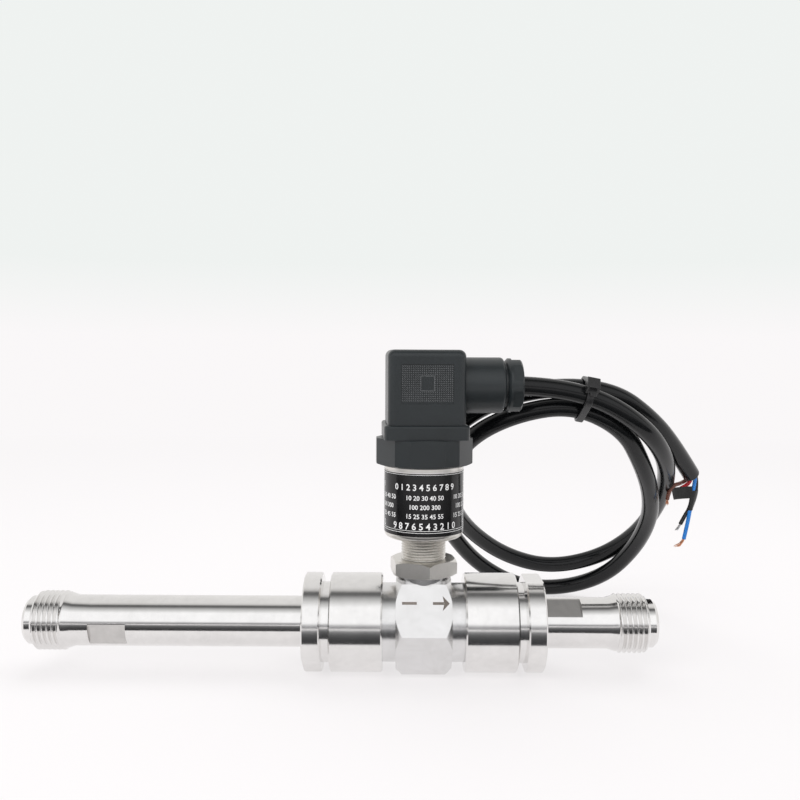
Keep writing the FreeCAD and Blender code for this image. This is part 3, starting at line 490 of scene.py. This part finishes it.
pipeShared = {
    "bore": 5.0, "outside": 9.0, "collarIn": 28.5, "collarOut": 32.0, "collar": 13.0, "across": 16.0,
    "crest": 10.4775, "root": 9.55, "pitch": 1.814, "threadLength": 10.8, "nose": 8.55, "noseLength": 3.5,
    "segments": 128, "edge": 0.4, "flatEdge": 0.02, "cone": 3, "startDrop": 0.5, "endDrop": 0.9,
    "noseEdge": 1.1, "noseDrop": 0.9, "mouth": 0.8,
}
inletSettings = dict(pipeShared, side=-1, reach=142.0, flatFrom=105.0, flatTo=118.3, flatTurn=110.5)
outletSettings = dict(pipeShared, side=1, reach=83.0, flatFrom=39.4, flatTo=56.0, flatTurn=34.0)


def threadedPipe(name, node, p):
    # collar, long tube with two wrench flats, cone, pipe thread and plain nose, then back down the bore
    end = p["reach"] - p["noseLength"]
    start = end - p["threadLength"]
    normal = math.radians(p["flatTurn"] + 90)
    tube, collar, edge, flatEdge = p["outside"], p["collar"], p["edge"], p["flatEdge"]
    rings = [plainRing(a, r) for a, r in (
        (p["collarIn"], p["bore"]), (p["collarIn"], collar - edge), (p["collarIn"] + edge, collar),
        (p["collarOut"] - edge, collar), (p["collarOut"], collar - edge), (p["collarOut"], tube),
        (p["flatFrom"] - 0.2, tube), (p["flatFrom"], tube))]
    rings += [flatRing(p["flatFrom"] + flatEdge, tube, p["across"], normal),
              flatRing(p["flatTo"] - flatEdge, tube, p["across"], normal)]
    rings += [plainRing(p["flatTo"], tube), plainRing(start - p["cone"], tube)]
    rings += threadRings({
        "from": start, "to": end, "pitch": p["pitch"], "crest": p["crest"], "root": p["root"],
        "hand": p["side"], "startRadius": p["crest"] - p["startDrop"],
        "endRadius": p["crest"] - p["endDrop"]})
    rings += [plainRing(a, r) for a, r in (
        (end, p["nose"]), (p["reach"] - p["noseEdge"], p["nose"]), (p["reach"], p["nose"] - p["noseDrop"]),
        (p["reach"], p["bore"] + p["mouth"]), (p["reach"] - p["mouth"], p["bore"]),
        (p["collarIn"], p["bore"]))]
    piece = turnedPiece(name, rings, p["segments"], alongPipe(p["side"]), "pipe_steel")
    piece.data.materials.append(finishes["flat_steel"])
    for face in piece.data.polygons:
        middle = abs(face.center.x - sensorX) / mm
        if p["flatFrom"] < middle < p["flatTo"] and face.area > 1e-7:
            radial = math.hypot(face.center.y, face.center.z - axisZ) / mm
            if p["across"] / 2 - 0.02 < radial < p["outside"] - 0.06:
                face.material_index = 1
    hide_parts(node)
    return piece


threadedPipe("inlet_pipe_turned", "inlet_pipe", inletSettings)
threadedPipe("outlet_pipe_turned", "outlet_pipe", outletSettings)

stemSettings = {"bottom": 5.3, "top": 34.0, "crest": 7.95, "root": 7.34, "bore": 6.0, "pitch": 1.0,
                "threadFrom": 8.0, "edge": 0.3, "endDrop": 0.4, "floor": 0.8, "segments": 96}


def threadedStem():
    s = stemSettings
    rings = [plainRing(a, r) for a, r in (
        (s["bottom"], 0.0), (s["bottom"], s["root"] - s["edge"]), (s["bottom"] + s["edge"], s["root"]),
        (s["threadFrom"] - s["edge"], s["root"]))]
    rings += threadRings({
        "from": s["threadFrom"], "to": s["top"], "pitch": s["pitch"], "crest": s["crest"], "root": s["root"],
        "hand": 1, "startRadius": s["root"], "endRadius": s["crest"] - s["endDrop"]})
    rings += [plainRing(a, r) for a, r in (
        (s["top"], s["bore"]), (s["bottom"] + s["floor"], s["bore"]), (s["bottom"] + s["floor"], 0.0))]
    piece = turnedPiece("sensor_stem_threaded", rings, s["segments"], alongSensor, "nickel")
    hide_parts("sensor_stem")
    return piece


threadedStem()
print("threads cut")


# ---- flow arrow on the body ----
arrowSettings = {
    "across": 32.0, "tilt": 30.0, "rise": 2.6, "line": 0.95, "proud": 0.05,
    "bars": [(-7.6, -2.5), (3.1, 6.9)], "head": (6.5, 8.9, 2.6), "notch": 0.5,
}


def flowArrow():
    s = arrowSettings
    tilt = math.radians(s["tilt"])
    normal = Vector((0, -math.cos(tilt), math.sin(tilt)))
    upward = Vector((0, math.sin(tilt), math.cos(tilt)))
    centre = fromAxis(0, 0, 0) + normal * (s["across"] / 2 * mm)
    shape = bmesh.new()

    def plate(outline):
        low = [centre + Vector((x * mm, 0, 0)) + upward * ((s["rise"] + y) * mm) for x, y in outline]
        top = [point + normal * (s["proud"] * mm) for point in low]
        under = [shape.verts.new(point) for point in low]
        over = [shape.verts.new(point) for point in top]
        shape.faces.new(over)
        for i in range(len(over)):
            j = (i + 1) % len(over)
            shape.faces.new((under[i], under[j], over[j], over[i]))

    half = s["line"] / 2
    for left, right in s["bars"]:
        plate([(left, -half), (right, -half), (right, half), (left, half)])
    back, tip, wide = s["head"]
    plate([(back, -wide), (tip, 0), (back, wide), (back + s["notch"], 0)])
    return finishMesh("flow_arrow", shape, "engraving")


flowArrow()


# ---- print on the label ----
labelSettings = {
    "proud": 0.00003,
    "lines": [(35.0, 0.16), (35.7, 0.16), (55.0, 0.16), (55.7, 0.16)],
    "rows": [
        (50.6, 2.15, "0 1 2 3 4 5 6 7 8 9", 3, 0.05),
        (47.0, 1.6, "10 20 30 40 50", 5, 0.035),
        (43.8, 1.6, "100 200 300", 5, 0.035),
        (40.6, 1.6, "15 25 35 45 55", 5, 0.035),
        (37.1, 2.3, "9 8 7 6 5 4 3 2 1 0", 3, 0.055),
    ],
    "segments": 96, "sizeToBody": 1.4,  # text size for a numeral's height
}


def wrapRound(x, y, radius):
    angle = x / radius
    return Vector((sensorX + radius * math.sin(angle), -radius * math.cos(angle), y))


def labelPrint():
    s = labelSettings
    radius = (labelHigh.x - labelLow.x) / 2 + s["proud"]
    shape = bmesh.new()
    around = 2 * math.pi * radius
    for height, thick in s["lines"]:
        low = axisZ + (height - thick / 2) * mm
        rows = []
        for level in (low, low + thick * mm):
            rows.append([wrapRound(around * i / s["segments"], level, radius) for i in range(s["segments"])])
        skin(shape, rows)
    for height, size, words, repeats, weight in s["rows"]:
        data = bpy.data.curves.new("numerals", "FONT")
        data.body = words
        data.size = size * s["sizeToBody"] * mm
        data.align_x = "CENTER"
        data.align_y = "CENTER"
        data.resolution_u = 3
        data.offset = weight * mm
        holder = bpy.data.objects.new("numerals", data)
        flat = bpy.data.meshes.new_from_object(holder)
        for k in range(repeats):
            shift = around * (k / repeats)
            start = len(shape.verts)
            shape.from_mesh(flat)
            shape.verts.ensure_lookup_table()
            for vertex in shape.verts[start:]:
                level = axisZ + height * mm + vertex.co.y
                vertex.co = wrapRound(vertex.co.x + shift, level, radius)
        bpy.data.objects.remove(holder)
        bpy.data.meshes.remove(flat)
    return finishMesh("label_print", shape, "print_white", merge=1e-9)


# Meant as black film from the label up to the cap. "outer" and "low" are in metres where millimetres
# are due, so this comes out as a thin needle on the sensor's axis.
labelTopSettings = {"high": 57.0, "thick": 0.12, "segments": 128}


def labelTopBand():
    s = labelTopSettings
    outer = (labelHigh.x - labelLow.x) / 2
    low = labelHigh.z - s["thick"]
    inner = outer - s["thick"]
    corners = [(low, inner), (low, outer), (s["high"], outer), (s["high"], inner), (low, inner)]
    rings = [plainRing(*corner) for corner in corners]
    return turnedPiece("label_top_band", rings, s["segments"], alongSensor, "label_film")


labelPrint()
labelTopBand()
print("label printed")


# ---- texture panel on the plug ----
panelSettings = {
    "yaw": 3.5, "depth": 13.15, "width": 18.6, "low": 79.4, "high": 93.5, "step": 0.74,
    "dash": (0.58, 0.20, 0.32), "slant": 45.0, "bare": (4.6, 5.0),
    "margin": 0.8, "frame": (0.2, 0.24),
}


def panelTexture():
    # slanted dashes in rows, round a bare framed field
    s = panelSettings
    yaw = Matrix.Rotation(math.radians(s["yaw"]), 3, "Z")
    slant = Matrix.Rotation(math.radians(s["slant"]), 3, "Y")
    shape = bmesh.new()
    middle = (s["low"] + s["high"]) / 2
    columns = int((s["width"] - s["margin"]) / s["step"])
    rows = int((s["high"] - s["low"] - s["margin"]) / s["step"])
    length, thick, proud = s["dash"]
    wide, tall = s["bare"]
    line, lineProud = s["frame"]
    for i in range(columns):
        for j in range(rows):
            x = (i - (columns - 1) / 2) * s["step"]
            z = (j - (rows - 1) / 2) * s["step"]
            if abs(x) < wide / 2 + line and abs(z) < tall / 2 + line:
                continue
            local = yaw @ Vector((x, -s["depth"], 0))
            place = fromAxis(local.x, local.y, middle + z)
            addBlock(shape, (length * mm, proud * 2 * mm, thick * mm), place, yaw @ slant)
    sides = ((-wide / 2, 0, line, tall), (wide / 2, 0, line, tall),
             (0, tall / 2, wide, line), (0, -tall / 2, wide, line))
    for x, z, a, b in sides:
        local = yaw @ Vector((x, -s["depth"], 0))
        addBlock(shape, (a * mm, lineProud * mm, b * mm), fromAxis(local.x, local.y, middle + z), yaw)
    # the dashes and frame lines take the paler rubbed_plastic finish: painted highlight on the raised texture
    return finishMesh("plug_panel_texture", shape, "rubbed_plastic")


panelTexture()
print("plug panel textured")


# ---- wires at the cut end ----
wireSettings = {
    "radius": 0.0008,
    "brown_wire": {"finish": "brown_pvc", "points": [
        (0.1385, 0.0470, 0.0649), (0.1393, 0.0478, 0.0638), (0.1388, 0.0489, 0.0622),
        (0.1369, 0.0487, 0.0613), (0.1351, 0.0456, 0.0614), (0.1323, 0.0428, 0.0613),
        (0.1303, 0.0439, 0.0586), (0.1301, 0.0446, 0.0550)]},
    "red_wire": {"finish": "red_pvc", "points": [
        (0.1392, 0.0453, 0.0641), (0.1399, 0.0461, 0.0631), (0.1396, 0.0468, 0.0617),
        (0.1381, 0.0468, 0.0603), (0.1359, 0.0458, 0.0595)]},
    "blue_wire": {"finish": "blue_pvc", "points": [
        (0.1409, 0.0451, 0.0651), (0.1418, 0.0461, 0.0638), (0.1416, 0.0465, 0.0610),
        (0.1409, 0.0463, 0.0574), (0.1405, 0.0462, 0.0540), (0.1399, 0.0462, 0.0500),
        (0.1390, 0.0462, 0.0446), (0.1376, 0.0460, 0.0384)]},
    "black_wire": {"finish": "black_pvc", "points": [
        (0.1412, 0.0467, 0.0665), (0.1423, 0.0479, 0.0650), (0.1431, 0.0484, 0.0624),
        (0.1429, 0.0480, 0.0590), (0.1425, 0.0477, 0.0566), (0.1417, 0.0479, 0.0534),
        (0.1400, 0.0481, 0.0502), (0.1381, 0.0479, 0.0472), (0.1366, 0.0478, 0.0442)]},
    "strands": {
        "blue_wire": {"count": 9, "reach": 0.0044, "splay": 0.42, "bend": (-0.55, 0, 0.1),
                      "finish": "copper"},
        "black_wire": {"count": 7, "reach": 0.0038, "splay": 0.10, "bend": (-0.12, 0, 0), "finish": "solder"},
        "brown_wire": {"count": 7, "reach": 0.0030, "splay": 0.14, "bend": (0.1, 0, 0), "finish": "copper"},
        "red_wire": {"count": 7, "reach": 0.0022, "splay": 0.12, "bend": (-0.1, 0, 0), "finish": "copper"},
    },
    "strandRadius": 0.00013, "strandGap": 0.00032, "sunk": 0.0006, "twist": 1.6,
}


def makeWires():
    made = {}
    for node in ("brown_wire", "red_wire", "blue_wire", "black_wire"):
        s = wireSettings[node]
        wire = softLine(node + "_line", s["points"], wireSettings["radius"], s["finish"], smooth=8, around=4)
        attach(wire, "meter")
        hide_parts(node)
        made[node] = wire
    return made


wires = makeWires()
wireLines = {node: centreLine(wire) for node, wire in wires.items()}


def bareStrands(node, seed):
    # a twist of fine strands that loosens beyond the insulation
    s = wireSettings["strands"][node]
    line = wireLines[node]
    draw = random.Random(seed)
    ahead = (line[-1] - line[-3]).normalized()
    root = line[-1] - ahead * wireSettings["sunk"]
    side = ahead.orthogonal().normalized()
    data = bpy.data.curves.new(node + "_strands", "CURVE")
    data.dimensions = "3D"
    data.bevel_depth = wireSettings["strandRadius"]
    data.bevel_resolution = 2
    data.use_fill_caps = True
    for k in range(s["count"]):
        angle = 2 * math.pi * k / (s["count"] - 1)
        ringed = 0.0 if k == 0 else wireSettings["strandGap"]
        reach = s["reach"] * draw.uniform(0.82, 1.0)
        spline = data.splines.new("NURBS")
        spline.points.add(4)
        for i, spot in enumerate(spline.points):
            t = i / 4
            turn = Matrix.Rotation(angle + wireSettings["twist"] * t, 3, ahead)
            outward = turn @ side
            spread = ringed * (1 + s["splay"] * 6 * t * t * draw.uniform(0.4, 1.2))
            bend = Vector(s["bend"]) * (reach * t * t)
            spot.co = (*(root + ahead * (reach * t) + outward * spread + bend), 1)
        spline.order_u = 3
        spline.use_endpoint_u = True
        spline.resolution_u = 6
    data.materials.append(finishes[s["finish"]])
    piece = bpy.data.objects.new(node + "_strands", data)
    scene.collection.objects.link(piece)
    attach(piece, "meter")
    return piece


strandPieces = [bareStrands(node, 11 + i) for i, node in enumerate(wireSettings["strands"])]


fillerSettings = {"around": 32, "dome": ((-0.05, 2.75), (0.06, 2.7), (0.10, 2.5), (0.16, 1.4), (0.18, 0.0))}


def cableFiller():
    # pale paper filler just inside the cut jacket
    around = fillerSettings["around"]
    end = cableLine[-1]
    ahead = (cableLine[-1] - cableLine[-2]).normalized()
    shape = bmesh.new()
    turn = ahead.to_track_quat("Z", "Y").to_matrix()
    rows = []
    for along, radius in fillerSettings["dome"]:
        row = []
        for i in range(around):
            angle = 2 * math.pi * i / around
            row.append(end + turn @ Vector((radius * math.cos(angle), radius * math.sin(angle), along)) * mm)
        rows.append(row)
    skin(shape, rows)
    return finishMesh("cable_filler", shape, "ptfe")


filler = cableFiller()


# ---- marker sleeve and its tape flag ----
markerSettings = {
    "top": 0.0585, "bottom": 0.0504, "wall": 0.00026, "stations": 9, "around": 40, "oval": 1.12,
    "flag": {"root": (0.1402, 0.0451, 0.0604), "long": 0.0090, "tall": 0.0049, "turn": 10.0, "tilt": 3.0,
             "thick": 0.0004, "sag": 0.0006, "steps": 12, "cut": 0.0009, "cutFrom": 0.82, "cutRun": 0.18},
}


def atHeight(line, height):
    for first, second in zip(line, line[1:]):
        if (first.z - height) * (second.z - height) <= 0 and first.z != second.z:
            return first.lerp(second, (height - first.z) / (second.z - first.z))
    return line[-1]


def markerSleeve():
    # an oval sleeve round the blue and black wires, and a flat tape flag beside it
    s = markerSettings
    radius = wireSettings["radius"] + s["wall"]
    outer = []
    inner = []
    for k in range(s["stations"]):
        height = s["bottom"] + (s["top"] - s["bottom"]) * k / (s["stations"] - 1)
        blue = atHeight(wireLines["blue_wire"], height)
        black = atHeight(wireLines["black_wire"], height)
        centre = (blue + black) / 2
        across = black - blue
        half = across.length / 2
        across.z = 0
        across.normalize()
        beside = Vector((0, 0, 1)).cross(across)
        for rows, grow in ((outer, 0.0), (inner, -0.8 * s["wall"])):
            row = []
            for i in range(s["around"]):
                angle = 2 * math.pi * i / s["around"]
                row.append(centre + across * ((half + radius + grow) * math.cos(angle))
                           + beside * ((radius * s["oval"] + grow) * math.sin(angle)))
            rows.append(row)
    shape = bmesh.new()
    skin(shape, outer + inner[::-1] + outer[:1])
    flag = s["flag"]
    steps = flag["steps"]
    turn = Matrix.Rotation(math.radians(flag["turn"]), 3, "Z")
    turn = turn @ Matrix.Rotation(math.radians(-flag["tilt"]), 3, "Y")
    root = Vector(flag["root"])
    sheets = []
    for side in (-0.5, 0.5):
        rows = []
        for i in range(steps + 1):
            t = i / steps
            sag = flag["sag"] * math.sin(math.pi * t)
            x = -flag["long"] * t
            cut = flag["cut"] * max(0, t - flag["cutFrom"]) / flag["cutRun"]
            rows.append([root + turn @ Vector((x - cut * z / flag["tall"], sag + side * flag["thick"], z))
                         for z in (0.0, -flag["tall"] * 0.5, -flag["tall"])])
        sheets.append(rows)
    grids = [skin(shape, rows, closed=False) for rows in sheets]
    rim = [[grid[i][0] for i in range(steps + 1)] + [grid[steps][1]]
           + [grid[i][2] for i in range(steps, -1, -1)] + [grid[0][1]] for grid in grids]
    for i in range(len(rim[0])):
        j = (i + 1) % len(rim[0])
        shape.faces.new((rim[0][i], rim[0][j], rim[1][j], rim[1][i]))
    piece = finishMesh("wire_marker_sleeve", shape, "black_pvc")
    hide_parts("wire_marker")
    return piece


marker = markerSleeve()


# ---- cable tie ----
tieSettings = {
    "place": (0.0872, 0.0080, 0.0992), "slope": 11.0, "width": 0.0026, "thick": 0.0010, "gap": 0.00012,
    "reach": 0.012, "edge": 0.0002, "soft": 0.0003, "head": (0.0046, 0.0050, 0.0036), "tail": 0.0030,
    "lean": 45.0, "lip": (0.62, 0.0010, 0.0016), "tailLift": 0.0004, "tailSize": (0.94, 0.9), "corner": 8,
}


def cableTie():
    # the band follows the outline of the three strands that it gathers
    s = tieSettings
    place = Vector(s["place"])
    turn = Matrix.Rotation(math.radians(s["slope"]), 3, "Y")
    along = turn @ Vector((1, 0, 0))
    middle = place + along * (s["width"] / 2)
    strands = []
    for first, second in zip(cableLine, cableLine[1:]):
        a = (first - middle).dot(along)
        b = (second - middle).dot(along)
        if a * b < 0:
            point = first.lerp(second, a / (a - b))
            if (point - middle).length < s["reach"]:
                local = turn.inverted() @ (point - middle)
                strands.append(Vector((local.y, local.z)))
    centre = sum(strands, Vector((0, 0))) / len(strands)
    strands.sort(key=lambda p: math.atan2(p.y - centre.y, p.x - centre.x))

    def outline(radius):
        points = []
        count = len(strands)
        for i in range(count):
            here = strands[i]
            ahead = (strands[(i + 1) % count] - here).normalized()
            behind = (here - strands[i - 1]).normalized()
            low = math.atan2(-behind.x, behind.y)
            high = math.atan2(-ahead.x, ahead.y)
            if high < low:
                high += 2 * math.pi
            for k in range(s["corner"] + 1):
                angle = low + (high - low) * k / s["corner"]
                points.append(here + Vector((math.cos(angle), math.sin(angle))) * radius)
        return points

    def spot(x, flat):
        return middle + turn @ Vector((x, flat.x, flat.y))

    near = cableSettings["diameter"] / 2 + s["gap"]
    far = near + s["thick"]
    half = s["width"] / 2
    edge = s["edge"]
    shape = bmesh.new()
    rows = [[spot(x, p) for p in outline(r)] for x, r in
            ((-half, near), (-half, far - edge), (-half + edge, far), (half - edge, far),
             (half, far - edge), (half, near), (-half, near))]
    skin(shape, rows)
    nearest = min(strands, key=lambda p: p.x)
    lean = math.radians(s["lean"])
    outward = Vector((-math.sin(lean), math.cos(lean)))
    ahead = Vector((outward.y, -outward.x))
    seat = nearest + outward * (near + edge + s["head"][2] / 2)
    square = turn @ Matrix.Rotation(math.atan2(ahead.y, ahead.x), 3, "X")
    addBlock(shape, s["head"], spot(0, seat), square)
    share, longer, high = s["lip"]
    addBlock(shape, (s["head"][0] * share, s["head"][1] + longer, high), spot(0, seat), square)
    lift = seat - ahead * (s["head"][1] / 2 + s["tail"] / 2 - s["tailLift"]) + outward * s["tailLift"]
    wide, thin = s["tailSize"]
    addBlock(shape, (s["width"] * wide, s["tail"], s["thick"] * thin), spot(0, lift), square)
    piece = bevelled(finishMesh("cable_tie_band", shape, "tie_plastic"), s["soft"])
    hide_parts("cable_tie")
    return piece


tie = cableTie()
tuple(cableSettings["route"][0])
print("cord dressed")


# ---- finishes of the carried-over nodes ----
def dressNodes():
    wanted = {row["node"]: row["material_slot"] for row in frame["record"]["subparts"]}
    for name, node in frame["nodes"].items():
        for holder in node.material_slots:
            holder.material = finishes[wanted[name]]


dressNodes()


# ---- studio ----
studioSettings = {
    "table": (0.955, 0.935, 0.94),
    "wall": (0.865, 0.89, 0.875),
    "edge": (0.02, 0.10),
    "fade": (0.15, 0.9),
    "floor": (-60, 60, -8, 120),
    "glow": 0.7,
    "card": {"corners": (-0.6, 0.6, -0.30, -0.036), "height": 0.0004,
             "near": (0.035, 0.035, 0.037), "far": (0.50, 0.50, 0.51)},
    "room": [
        (0.00, (0.60, 0.60, 0.61)), (0.03, (0.72, 0.72, 0.73)), (0.055, (1.15, 1.15, 1.16)),
        (0.27, (1.15, 1.15, 1.16)), (0.34, (0.75, 0.75, 0.75)), (0.40, (0.42, 0.42, 0.42)),
        (0.435, (0.14, 0.14, 0.14)), (0.475, (0.12, 0.12, 0.12)), (0.51, (0.62, 0.61, 0.60)),
        (0.56, (0.84, 0.83, 0.82)), (0.85, (0.90, 0.89, 0.88)), (1.00, (0.90, 0.89, 0.88))],
    "front": {"colour": (0.26, 0.26, 0.27), "half": 0.42, "soft": 0.16, "rise": 0.20, "base": 0.02},
    "air": 0.62,
    "aim": (0, 0, 0.04),
    "lamps": [
        {"name": "key_lamp", "place": (-0.35, -0.75, 0.75), "size": (0.9, 0.5), "watts": 4.5},
        {"name": "top_lamp", "place": (0.15, 0.35, 0.9), "size": (1.2, 0.7), "watts": 4.5},
    ],
}


def stagePlate(name, corners, height, finish):
    # a flat rectangle that isn't part of the object
    left, right, front, back = corners
    mesh = bpy.data.meshes.new(name)
    spots = [(left, front, height), (right, front, height), (right, back, height), (left, back, height)]
    mesh.from_pydata(spots, [], [(0, 1, 2, 3)])
    mesh.materials.append(finish.holder)
    plate = bpy.data.objects.new(name, mesh)
    scene.collection.objects.link(plate)
    return plate


def makeFloor():
    # rays that see the table find its own pale tone and part of the object's shadow;
    # far behind the object the shadow fades out and the plain tone is left
    s = studioSettings
    finish = newFinish("floor_pale")
    eye = finish.add("ShaderNodeLightPath", out="Is Camera Ray")
    gloss = finish.add("ShaderNodeLightPath", out="Is Glossy Ray")
    seen = finish.add("ShaderNodeMath", {"operation": "MAXIMUM"}, {0: eye, 1: gloss})
    diffuse = finish.add("ShaderNodeBsdfDiffuse", {}, {"Color": opaque(s["table"])})
    glow = finish.add("ShaderNodeEmission", {}, {"Color": opaque(s["table"]), "Strength": 1.0})
    place = finish.add("ShaderNodeTexCoord", out="Object")
    depth = finish.add("ShaderNodeSeparateXYZ", {}, {0: place}, out="Y")
    start, end = s["fade"]
    fade = finish.add("ShaderNodeMapRange", {"clamp": True}, {0: depth, 1: start, 2: end, 3: s["glow"]})
    both = finish.add("ShaderNodeMixShader", {}, {0: seen * fade, 1: diffuse, 2: glow})
    finish.add("ShaderNodeOutputMaterial", {}, {"Surface": both})
    stagePlate("floor", s["floor"], 0.0, finish)


def makeCard():
    # a dark card on the floor in front of the object, which only its reflections show
    s = studioSettings["card"]
    finish = newFinish("dark_card")
    front, back = s["corners"][2:]
    place = finish.add("ShaderNodeTexCoord", out="Object")
    depth = finish.add("ShaderNodeSeparateXYZ", {}, {0: place}, out="Y")
    fade = finish.add("ShaderNodeMapRange", {"clamp": True}, {0: depth, 1: back, 2: front})
    near = finish.add("ShaderNodeEmission", {}, {"Color": opaque(s["near"]), "Strength": 1.0})
    far = finish.add("ShaderNodeEmission", {}, {"Color": opaque(s["far"]), "Strength": 1.0})
    both = finish.add("ShaderNodeMixShader", {}, {0: fade, 1: near, 2: far})
    finish.add("ShaderNodeOutputMaterial", {}, {"Surface": both})
    card = stagePlate("dark_card", s["corners"], s["height"], finish)
    card.visible_camera = False
    card.visible_diffuse = False
    card.visible_shadow = False


def makeWorld():
    # soft boxes and dark gaps round the X axis for reflections, an even light for the rest
    s = studioSettings
    world = bpy.data.worlds.new("studio")
    scene.world = world
    air = Finish(world)
    way = air.add("ShaderNodeTexCoord", out="Generated")
    forward = air.add("ShaderNodeSeparateXYZ", {}, {0: way}, out="Y")
    rise = air.add("ShaderNodeSeparateXYZ", {}, {0: way}, out="Z")
    angle = air.add("ShaderNodeMath", {"operation": "ARCTAN2"}, {0: rise, 1: forward * -1.0}) / math.pi
    boxes = air.add("ShaderNodeBackground", {}, {"Color": air.ramp(angle, s["room"]), "Strength": 1.0})
    front = s["front"]
    across = air.add("ShaderNodeSeparateXYZ", {}, {0: way}, out="X")
    aside = air.add("ShaderNodeMath", {"operation": "ABSOLUTE"}, {0: across})
    outer = front["half"] + front["soft"]
    narrow = air.add("ShaderNodeMapRange", {"clamp": True}, {0: aside, 1: outer, 2: front["half"]})
    low = air.add("ShaderNodeMapRange", {"clamp": True}, {0: rise, 1: front["rise"], 2: front["base"]})
    ahead = air.add("ShaderNodeMath", {"operation": "LESS_THAN"}, {0: forward, 1: 0.0})
    gap = air.add("ShaderNodeBackground", {}, {"Color": opaque(front["colour"]), "Strength": 1.0})
    room = air.add("ShaderNodeMixShader", {}, {0: narrow * low * ahead, 1: boxes, 2: gap})
    even = air.add("ShaderNodeBackground", {}, {"Color": (1, 1, 1, 1), "Strength": s["air"]})
    far = air.add("ShaderNodeBackground", {}, {"Color": opaque(s["wall"]), "Strength": 1.0})
    near = air.add("ShaderNodeBackground", {}, {"Color": opaque(s["table"]), "Strength": 1.0})
    climb = air.add("ShaderNodeMapRange", {"clamp": True}, {0: rise, 1: s["edge"][0], 2: s["edge"][1]})
    wall = air.add("ShaderNodeMixShader", {}, {0: climb, 1: near, 2: far})
    gloss = air.add("ShaderNodeLightPath", out="Is Glossy Ray")
    eye = air.add("ShaderNodeLightPath", out="Is Camera Ray")
    light = air.add("ShaderNodeMixShader", {}, {0: gloss, 1: even, 2: room})
    both = air.add("ShaderNodeMixShader", {}, {0: eye, 1: light, 2: wall})
    air.add("ShaderNodeOutputWorld", {}, {"Surface": both})


def makeLamps():
    for lamp in studioSettings["lamps"]:
        data = bpy.data.lights.new(lamp["name"], "AREA")
        data.shape = "RECTANGLE"
        data.size, data.size_y = lamp["size"]
        data.energy = lamp["watts"]
        holder = bpy.data.objects.new(lamp["name"], data)
        holder.location = lamp["place"]
        aim = Vector(studioSettings["aim"]) - Vector(lamp["place"])
        holder.rotation_euler = aim.to_track_quat("-Z", "Y").to_euler()
        holder.visible_glossy = False
        scene.collection.objects.link(holder)


def makeStudio():
    makeFloor()
    makeCard()
    makeWorld()
    makeLamps()
    scene.view_settings.view_transform = "Standard"


makeStudio()
print("studio lit")
